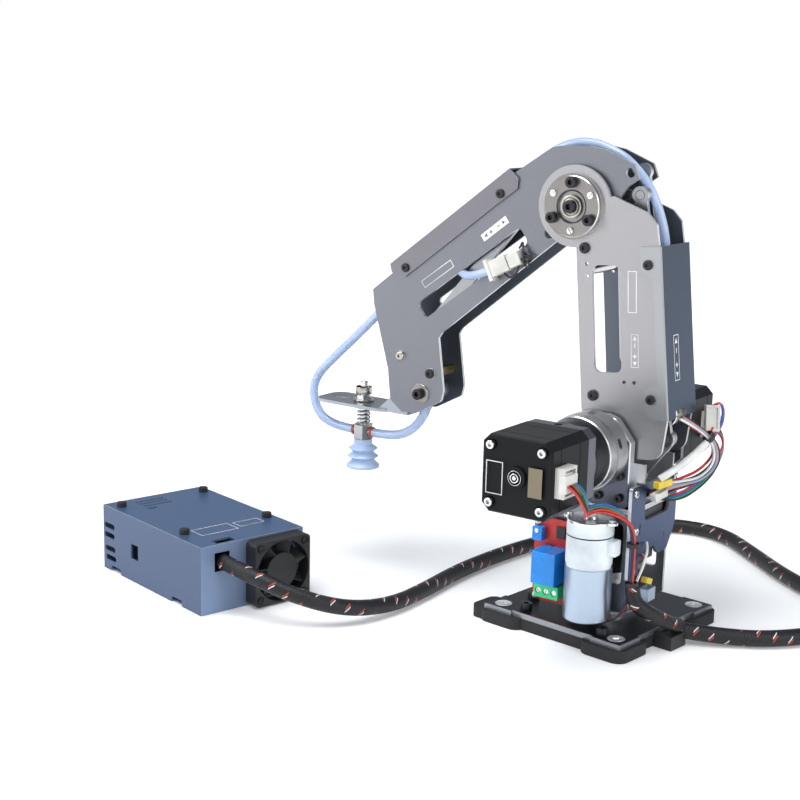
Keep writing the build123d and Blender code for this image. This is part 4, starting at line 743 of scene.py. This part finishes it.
for side, label in SIDES:
    out = (0, side, 0)
    place_row(button_head, f"cover_screw_{label}", on_face(
        SHOULDER, side * REAR_COVER_FACE, (-24.2, 105.0), (-30.3, 31.0)), out, "upper_arm", steel_black, 0.98, 0.3)
    place_row(button_head, f"arm_bolt_{label}", on_face(SHOULDER, side * UPPER_FACE, (15.8, 111.0), (6.0, 28.4)), out,
              "upper_arm", steel_black, 1.1, 0.5)
    screw_ring = on_face(ELBOW, side * DISC_FACE, *[
        (13.5 * math.cos(math.radians(90 + 60 * i)), 13.5 * math.sin(math.radians(90 + 60 * i))) for i in range(6)])
    for index, place in enumerate(screw_ring):
        model, tone, size = ((cap_head, steel_black, 1.15), (slotted_head, steel_bright, 0.76))[index % 2]
        place_copy(model, f"disc_screw_{label}{index}", place, out, "upper_arm", tone, 0.7 * index, size)
    for model, part, rise, tone, spin, size in (
            (cap_head, "bolt", 0.2, steel_black, 0.2, 1.3), (bearing_ring, "bearing", 0.05, ring_warm, 0.0, 1.0),
            (sleeve_ring, "sleeve", 0.05, ring_warm, 0.0, 1.0), (groove_ring, "groove", 0.05, ring_dark, 0.0, 1.0)):
        place_copy(model, f"elbow_{part}_{label}", (ELBOW[0], side * (DISC_FACE + rise), ELBOW[1]), out, "upper_arm",
                   tone, spin, size)
    place_row(button_head, f"fore_cover_screw_{label}", on_face(
        ELBOW, side * FORE_COVER_FACE, (50.4, 3.8), (116.1, -44.9)), out, "forearm", steel_black, 0.95, 0.3)
    for index, (place, tone) in enumerate((((16.8, -16.6), steel_black), ((96.7, -108.4), steel_black),
                                           ((119.1, -100.0), ring_warm))):
        for model, part, rise, finish, spin, size in ((thin_washer, "washer", 0.0, disc_silver, 0.0, 0.95),
                                                      (button_head, "bolt", 0.45, tone, 0.5, 1.05)):
            place_copy(model, f"fore_{part}_{label}{index}", on_face(ELBOW, side * (FORE_FACE + rise), place)[0], out,
                       "forearm", finish, spin, size)
    for model, part, rise, tone, spin, size in ((thin_washer, "washer", 0.0, disc_silver, 0.0, 1.65),
                                                (cap_head, "bolt", 0.88, steel_black, 0.2, 1.25)):
        place = on_face(ELBOW, side * (FORE_FACE + rise), (103.634, -121.77))[0]
        place_copy(model, f"wrist_{part}_{label}", place, out, "forearm", tone, spin, size)


# The tool: anodised bracket, threaded steel rod with nuts, wire spring, hexagonal air block
# with reddish hose collars, and a bellows cup of translucent pale-blue silicone.
tool_sheet = anodised_finish("tool_bracket_sheet", (0.21, 0.24, 0.28), (0.34, 0.36, 0.40), 0.34, 0.88, axis=2)
block_silver = anodised_finish("air_block_silver", (0.46, 0.46, 0.46), (0.42, 0.42, 0.42), 0.26, 1.0, axis=2, bump=0.03)
dress(tool_sheet, "tool_bracket")
dress(block_silver, "suction_block")
dress(cup_finish(), "suction_cup")
spring_low, spring_high = (tuple(corner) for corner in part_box("suction_spring"))
wire_radius = (spring_high[0] - spring_low[0]) * 500 - 4.0
spring_rise = (spring_high[2] - spring_low[2]) * 1000
spring_radius = 4.03
points_per_turn = 16
spring_turns = 5
spring_points = []
for i in range(points_per_turn * spring_turns + 1):
    turn = 2 * math.pi * i / points_per_turn
    climb = (spring_rise - 2 * wire_radius) * i / (points_per_turn * spring_turns)
    spring_points.append((TOOL_X + spring_radius * math.cos(turn), spring_radius * math.sin(turn),
                          spring_low[2] * 1000 + wire_radius + climb))
spring = curve_between("wire_spring", spring_points, wire_radius)
spring.data.splines[0].resolution_u = 3
spring.data.materials.append(block_silver)
spring = made_mesh(spring)
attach(spring, "suction")
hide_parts("suction_spring")
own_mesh(spring)
collar = head_blank("collar", 3.6, 1.6, 0.3)
rod_cap = ring_blank("rod_cap", 5.3, 4.62, 4.6, 0.5)
rod_washer = ring_blank("rod_washer", 6.6, 4.62, 1.1, 0.2)
collar_red = rubber_finish("hose_collar_red", (0.42, 0.10, 0.07), 0.35)
place_copy(rod_cap, "suction_rod_cap", (TOOL_X, 0, 112.7), UP, "suction", ring_warm)
place_copy(rod_washer, "suction_rod_washer", (TOOL_X, 0, 108.1), UP, "suction", ring_warm)
for label, sign in (("front", 1), ("rear", -1)):
    place_copy(collar, f"hose_collar_{label}", (TOOL_X + sign * 6.2, 0, AIR_LINE_Z), (sign, 0, 0), "suction",
               collar_red)


# The control box: folded slate sheet in two halves, rubber bumpers on the lid, and a black fan in the end wall beside
# the cable port. Its top, long walls and end walls get three tones of the slate as painted light.
# painted light: the box's end walls get a lighter slate and its long walls a darker one than the top
box_sheet_painted_light = anodised_finish("box_slate", (0.073, 0.136, 0.26), (0.072, 0.108, 0.193), 0.42, 0.5, axis=2,
                            end=(0.185, 0.256, 0.395))
dress(box_sheet_painted_light, "box_tray", "box_lid")
dress(pad_rubber, "box_bumpers")
dress(black_moulded, "fan_frame", "fan_rotor")
box_run = (math.cos(BOX_YAW), math.sin(BOX_YAW), 0)


def on_box(x, y, z):
    return (BOX_CENTRE[0] + x * box_run[0] - y * box_run[1], BOX_CENTRE[1] + x * box_run[1] + y * box_run[0], z)


place_row(slotted_head, "fan_screw_", [on_box(-66.9, -15 + 16 * y, 20.6 + 16 * z) for y, z in CORNERS],
          (-box_run[0], -box_run[1], 0), "base", steel_black, 0.9, step=0.4)


# The wires: thin silicone-covered leads in red, black, blue, green, yellow and white from
# the motors, pump and relay, gathered behind the turret and led down to the harness.
wire_red = lead_finish("wire_red", (0.55, 0.03, 0.025))
wire_black = lead_finish("wire_black", (0.014, 0.014, 0.015))
wire_blue = lead_finish("wire_blue", (0.03, 0.10, 0.42))
wire_green = lead_finish("wire_green", (0.02, 0.26, 0.10))
wire_yellow = lead_finish("wire_yellow", (0.75, 0.55, 0.05))
wire_white = lead_finish("wire_white", (0.72, 0.72, 0.70))
wire_grey = lead_finish("wire_grey", (0.26, 0.31, 0.40))
wire_pink = lead_finish("wire_pink", (0.78, 0.22, 0.20))


def run_wire(name, points, finish, body, radius=0.65):
    """A thin lead that rides on a body, or stays on no body if none is given."""
    wire = curve_between(name, points, radius)
    wire.data.bevel_resolution = 2
    if body:
        return fit(wire, finish, body)
    wire.data.materials.append(finish)
    return wire


for index, (finish, a, b) in enumerate(((wire_blue, 0, 0), (wire_green, 0.5, -1.5), (wire_red, -0.9, -2.9),
                                        (wire_black, 1.7, -2.9), (wire_red, 0.9, -4.4))):
    run_wire(f"near_motor_lead_{index}", [
        (-31.0, 96.4 + 2.1 * index, 110.0), (-36.5, 96.4 + 2.0 * index, 108.0), (-38.5 - a, 94.0 + index, 101.0 + b),
        (-34.5, 86.0, 94.5 + b), (-26.5, 74.0, 88.2 + b), (-22.0, 62.0, 87.2 + b), (-25.0 + a, 50.5, 87.6 + b),
        (-31.2 + 0.5 * b, 41.0, 82.6 + b), (-35.2 + 0.5 * b, 35.0 + a, 72.0), (-35.0 + 0.5 * b, 32.0 + a, 60.0),
        (-34.8 + 0.5 * b, 31.9 + a, 47.0), (-35.2 + 0.4 * b, 32.2 + a, 35.0),
    ], finish, "turret", 0.7)
for index, finish in enumerate((wire_red, wire_blue, wire_green, wire_black)):
    drop = index * 1.4
    run_wire(f"far_motor_lead_{index}", [
        (-28.0, -73.0 - 2.6 * index, 110.0), (-35.0, -73.0 - 2.6 * index, 108.0), (-44.0, -66.0, 104.0 - drop),
        (-48.0, -50.0, 99.0 - drop), (-50.0 - drop * 0.3, -34.0, 95.0 - drop), (-50.0, -20.0, 90.0 - drop),
        (-44.0, -8.0, 84.0 - drop), (-35.0, -4.0 + drop, 80.5), (-28.0, -3.0 + drop, 80.5),
    ], finish, "turret")
for index, (finish, a, b) in enumerate(((wire_white, 0, 0), (wire_black, 1.7, 0.3), (wire_grey, -1.7, 0.5),
                                        (wire_pink, 0.4, 1.9), (wire_grey, 1.9, 2.2), (wire_black, -1.2, 2.3),
                                        (wire_white, 3.2, 1.0), (wire_red, -0.4, -1.8))):
    lead = made_mesh(run_wire(f"cover_lead_{index}", [
        (-45.1 - 0.4 * b, -2.0 + 1.4 * a, 129.3), (-47.2 - 0.4 * b, -6.0 + a, 126.6),
        (-50.8 - 0.5 * b, -13.0 + 0.6 * a, 121.6), (-54.5 - 0.5 * b, -19.3 + 0.6 * a, 115.7 + 0.3 * b),
        (-55.5 - 0.8 * b, -26.0 + a, 109.0), (-55.0 - b, -27.0 + a, 101.0 - b), (-51.0 - b, -18.0 + a, 94.0 - b),
        (-46.0 - 0.6 * b, -4.0 + 0.4 * a, 92.0 - b + 0.5 * a), (-40.0 - 0.3 * b, 5.0 + 0.4 * a, 90.0 - b + a),
        (-34.5, 5.0 + a, 84.5 - b), (-28.0, 3.0 + a, 81.5 - 0.4 * b),
    ], finish, None, 0.8))
    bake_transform(lead)
run_wire("cover_lead_top", [(-42.0, -15.5, 122.5), (-47.0, -17.0, 119.5), (-52.5, -19.3, 116.8), (-54.0, -25.0, 120.0),
                            (-52.5, -28.0, 124.0)], wire_red, "turret", 0.7)
for index, (finish, shift) in enumerate(((wire_blue, 0), (wire_red, 1.6), (wire_blue, -1.5))):
    run_wire(f"plug_lead_{index}", [
        (-51.5, -28.5 + shift, 132.5), (-52.5, -34.0 + shift, 134.5), (-53.0, -40.0, 129.0 + shift),
        (-53.5, -38.0 - shift, 121.0), (-54.5, -28.0, 116.5 + 0.4 * shift), (-54.5, -20.5, 115.0 + 0.4 * shift),
    ], finish, "turret", 0.75)
fit(curve_between("pale_sleeve", [
    (-40.5, 13.5, 96.0), (-45.0, 8.5, 100.0), (-49.0, -1.0, 104.5), (-52.0, -10.0, 109.5), (-54.0, -16.5, 113.5),
], 2.1), wire_white, "turret")
for index, (finish, shift) in enumerate(((wire_red, 0), (wire_black, 1.5))):
    run_wire(f"pump_lead_{index}", [
        (-18.0 + shift, 37.1, 15.4), (-24.0, 37.0 + shift, 15.2), (-31.0, 35.5 + shift, 19.0),
        (-34.5, 33.0 + shift, 27.0), (-35.0, 32.5, 34.0),
    ], finish, "turret")
for index, (finish, shift) in enumerate(((wire_white, 0), (wire_red, 1.6))):
    run_wire(f"switch_lead_{index}", [
        (-29.0, 11.0 + shift, 50.0), (-33.5, 12.5 + shift, 50.5), (-36.0, 16.0 + shift, 47.0),
        (-36.0, 22.0 + shift, 41.0), (-35.4, 28.0, 36.5), (-35.0, 31.5, 32.0),
    ], finish, "turret", 0.55)
run_wire("rear_lead_white", [
    (-33.0, 9.5, 57.0), (-35.0, 11.7, 53.8), (-36.4, 17.0, 49.5), (-36.6, 23.0, 42.5), (-36.2, 27.5, 37.6),
    (-36.4, 30.0, 34.0),
], wire_white, "turret", 0.8)
tie_ring = ring_blank("tie_ring", 3.7, 3.1, 2.6, 0.2)
for name, at, along in (("tie_upper", (-36.0, 32.4, 60.0), UP), ("tie_lower", (-36.3, 32.5, 37.2), (0.1, 0, 1)),
                        ("tie_bundle", (-55.0, -19.2, 115.8), (0.45, 0.75, 0.65))):
    place_copy(tie_ring, name, at, along, "turret", chip_black)
tail = woven_tube("turret_tail", spline_places([
    (-36.5, 31.5, 37.0), (-37.5, 32.5, 31.0), (-41.5, 32.5, 26.5), (-47.5, 27.0, 21.5), (-51.5, 19.0, 16.5),
    (-53.5, 12.0, 13.0), (-54.5, 7.5, 11.5),
]), 0.0043)
tail.data.materials.append(braid)
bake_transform(tail)


# Plastic plugs: two-way connectors in the wires behind the turret and one on the lead that
# hangs out of the forearm's slot, with ribs along their backs.
def plug(name, at, along, size, material, body="turret"):
    """A ribbed connector body centred on a point, its length along a direction."""
    length, width, height = size
    piece = cube_blank(name, (0, 0, 0), (width, height, length))
    pick_faces(piece, lambda p: abs(p.normal.y) > 0.9)
    bpy.ops.mesh.inset(thickness=width * 0.00018, use_individual=True)
    bpy.ops.mesh.extrude_region_shrink_fatten(TRANSFORM_OT_shrink_fatten={"value": -height * 0.00012})
    bpy.ops.object.mode_set(mode="OBJECT")
    soften_rims(piece, 0.25)
    turn = Vector(along).to_track_quat("Z", "Y").to_matrix().to_4x4()
    piece.data.transform(Matrix.Translation(Vector(at) * MM) @ turn)
    fit(piece, material, body)


plug("yellow_plug", (-41.0, 10.0, 93.0), (0.3, 1, -0.1), (11, 4.5, 4), wire_yellow)
plug("hole_plug_lower", (-27.6, -2.0, 70.2), NEAR, (28, 4, 8.6), chip_black)
plug("hole_plug_upper", (-27.6, -1.0, 81.4), NEAR, (26, 4, 6), chip_black)
plug("pale_plug", (-40.0, 12.0, 86.5), (0.3, 1, -0.25), (10, 4.5, 4), white_moulded)
plug("switch_plug", (-37.0, 15.0, 36.5), (0.1, 1, 0.4), (6, 4, 3.4), wire_yellow)
plug("switch_body", (-36.5, 12.5, 28.0), NEAR, (9, 6, 7.5), steel_can)
plug("white_plug", (-51.5, -27.6, 125.5), (0.1, -0.15, 1), (15, 8, 7), white_moulded)
plug("near_socket_plug", (-30.6, 100.6, 110.0), (-1, 0, 0), (4, 12.2, 9), white_moulded)
plug("far_socket_plug", (-30.6, -79.6, 110.0), (-1, 0, 0), (4, 12.2, 9), white_moulded)
for name, at, size in (("slot_plug", (66.8, 16.0, 206.2), (12.0, 6.0, 9.6)),
                       ("slot_plug_flange", (73.4, 16.0, 203.0), (2.4, 6.6, 13.0)),
                       ("slot_plug_socket", (57.0, 16.0, 210.6), (8.0, 5.2, 8.0))):
    plug(name, at, (-12.8, 0, 6.2), size, white_moulded, "forearm")
for index, (top, low, y) in enumerate(((221.0, 211.5, 15.2), (219.5, 208.5, 16.6))):
    run_wire(f"slot_lead_{index}", [
        (58.0 + index, 8.5, top - 3), (55.5, 11.0, top), (52.5 - index, y, top - 2), (52.0 - index, y + 0.6, low + 4),
        (50.5, y + 0.5, low), (47.5, y, low - 2), (46.0 + index, y + 0.4, low + 1), (49.0, y, low + 3.5),
        (53.0, y, low + 2.5),
    ], wire_black, "forearm")
run_wire("slot_lead_low", [(64.0, 16.0, 202.2), (61.5, 15.4, 199.6), (58.0, 15.2, 200.2), (55.5, 15.4, 203.6),
                           (54.5, 15.8, 207.0)], wire_black, "forearm")
fit(curve_between("slot_sleeve", [
    (74.6, 15.8, 202.4), (79.5, 15.6, 200.6), (85.5, 15.0, 198.6), (91.0, 13.4, 197.8), (96.0, 10.4, 198.2),
    (101.0, 7.6, 200.2), (107.0, 5.6, 202.4),
], 2.6), hose_finish, "forearm")


# Flat marks on the sheets, in the places of the photo's printed labels: plain outlines,
# arrows, plus and minus signs, as thin raised ink without any text.
def bar(x, y, wide, high):
    w, h = wide / 2, high / 2
    return [(x - w, y - h), (x + w, y - h), (x + w, y + h), (x - w, y + h)]


def outline_bars(wide, high, line):
    return [bar(0, high / 2 - line / 2, wide, line), bar(0, line / 2 - high / 2, wide, line),
            bar(wide / 2 - line / 2, 0, line, high - 2 * line), bar(line / 2 - wide / 2, 0, line, high - 2 * line)]


def arrow_signs(reach, size, line):
    """Two arrowheads pointing outwards with a plus and a minus sign between them."""
    return [[(-reach, 0), (-reach + size, -size / 2), (-reach + size, size / 2)],
            [(reach, 0), (reach - size, size / 2), (reach - size, -size / 2)],
            bar(-reach * 0.36, 0, size, line), bar(-reach * 0.36, size / 4 + line / 4, line, size / 2 - line / 2),
            bar(-reach * 0.36, -size / 4 - line / 4, line, size / 2 - line / 2), bar(reach * 0.36, 0, size, line)]


def flat_marks(name, at, run, out, shapes, material, body, rise=0.12):
    """Flat polygons in millimetres, drawn along run on a face whose outward direction is out."""
    u = Vector(run).normalized()
    n = Vector(out).normalized()
    v = n.cross(u)
    work = bmesh.new()
    for shape in shapes:
        low, high = ([work.verts.new((Vector(at) + u * x + v * y + n * lift) * MM) for x, y in shape]
                     for lift in (-0.02, rise))
        work.faces.new(high)
        work.faces.new(list(reversed(low)))
        for i in range(len(shape)):
            j = (i + 1) % len(shape)
            work.faces.new((low[i], low[j], high[j], high[i]))
    fit(built_mesh(name, work), material, body)


ink_white = rubber_finish("ink_white", (0.72, 0.72, 0.74), 0.5)
ink_dark = rubber_finish("ink_dark", (0.10, 0.10, 0.11), 0.5)
# painted highlight: the pale strip round the box lid's top edges stands for light caught on the rims, not wear
rim_painted_highlight = anodised_finish("box_rim_painted_highlight", (0.42, 0.47, 0.55), (0.42, 0.47, 0.55), 0.4, 0.6, axis=2, bump=0.05)
plate_brass = anodised_finish("motor_plate_brass", (0.20, 0.17, 0.12), (0.20, 0.17, 0.12), 0.4, 0.8, bump=0.05)
for name, (x, y), shapes, material, rise in (
        # box_rim is the painted highlight strip along the lid's edges, not ink
        ("box_rim", BOX_CENTRE, outline_bars(114.0, 73.6, 0.5), rim_painted_highlight, 0.04),
        ("lid_outline_large", (204.5, 110.5), outline_bars(13.0, 26.0, 0.35), ink_white, 0.05),
        ("lid_outline_small", (199.0, 86.0), outline_bars(9.0, 18.0, 0.35), ink_white, 0.05)):
    flat_marks(name, (x, y, BOX_TOP), box_run, UP, shapes, material, "base", rise)
flat_marks("forearm_plate_label", (73.7, FORE_FACE + 0.05, 226.8), (-16.6, 0, 12.6), NEAR, [bar(0, 0, 20.6, 4.5)],
           ink_white, "forearm")
flat_marks("forearm_plate_arrows", (73.7, FORE_FACE + 0.17, 226.8), (-16.6, 0, 12.6), NEAR, arrow_signs(8.6, 2.3, 0.6),
           ink_dark, "forearm", 0.05)
flat_marks("forearm_outline", (113.0, FORE_FACE + 0.05, 196.8), (-21.3, 0, 15.3), NEAR, outline_bars(25.6, 4.9, 0.4),
           ink_white, "forearm")
flat_marks("upper_outline", (-18.9, UPPER_FACE + 0.05, 199.2), (1.4, 0, 23.0), NEAR, outline_bars(23.0, 5.4, 0.4),
           ink_white, "upper_arm")
flat_marks("upper_arrows", (-22.4, UPPER_FACE + 0.05, 166.7), (1.1, 0, 17.8), NEAR,
           arrow_signs(8.4, 2.4, 0.6) + outline_bars(18.6, 4.6, 0.3), ink_white, "upper_arm")
flat_marks("cover_arrows", (-42.3, 5.0, 164.0), (0.109, 0, 0.994), (-0.994, 0, 0.109),
           arrow_signs(11.0, 3.0, 0.7) + outline_bars(25.5, 6.2, 0.4), ink_white, "upper_arm")
flat_marks("motor_outline", (8.5, 109.6, 108.3), UP, NEAR, outline_bars(17.8, 10.2, 0.45), ink_white, "turret")
flat_marks("motor_plate", (-16.2, 109.6, 109.2), UP, NEAR, [bar(0, 0, 15.8, 8.2)], plate_brass, "turret")

for model in models:
    bpy.data.objects.remove(model)
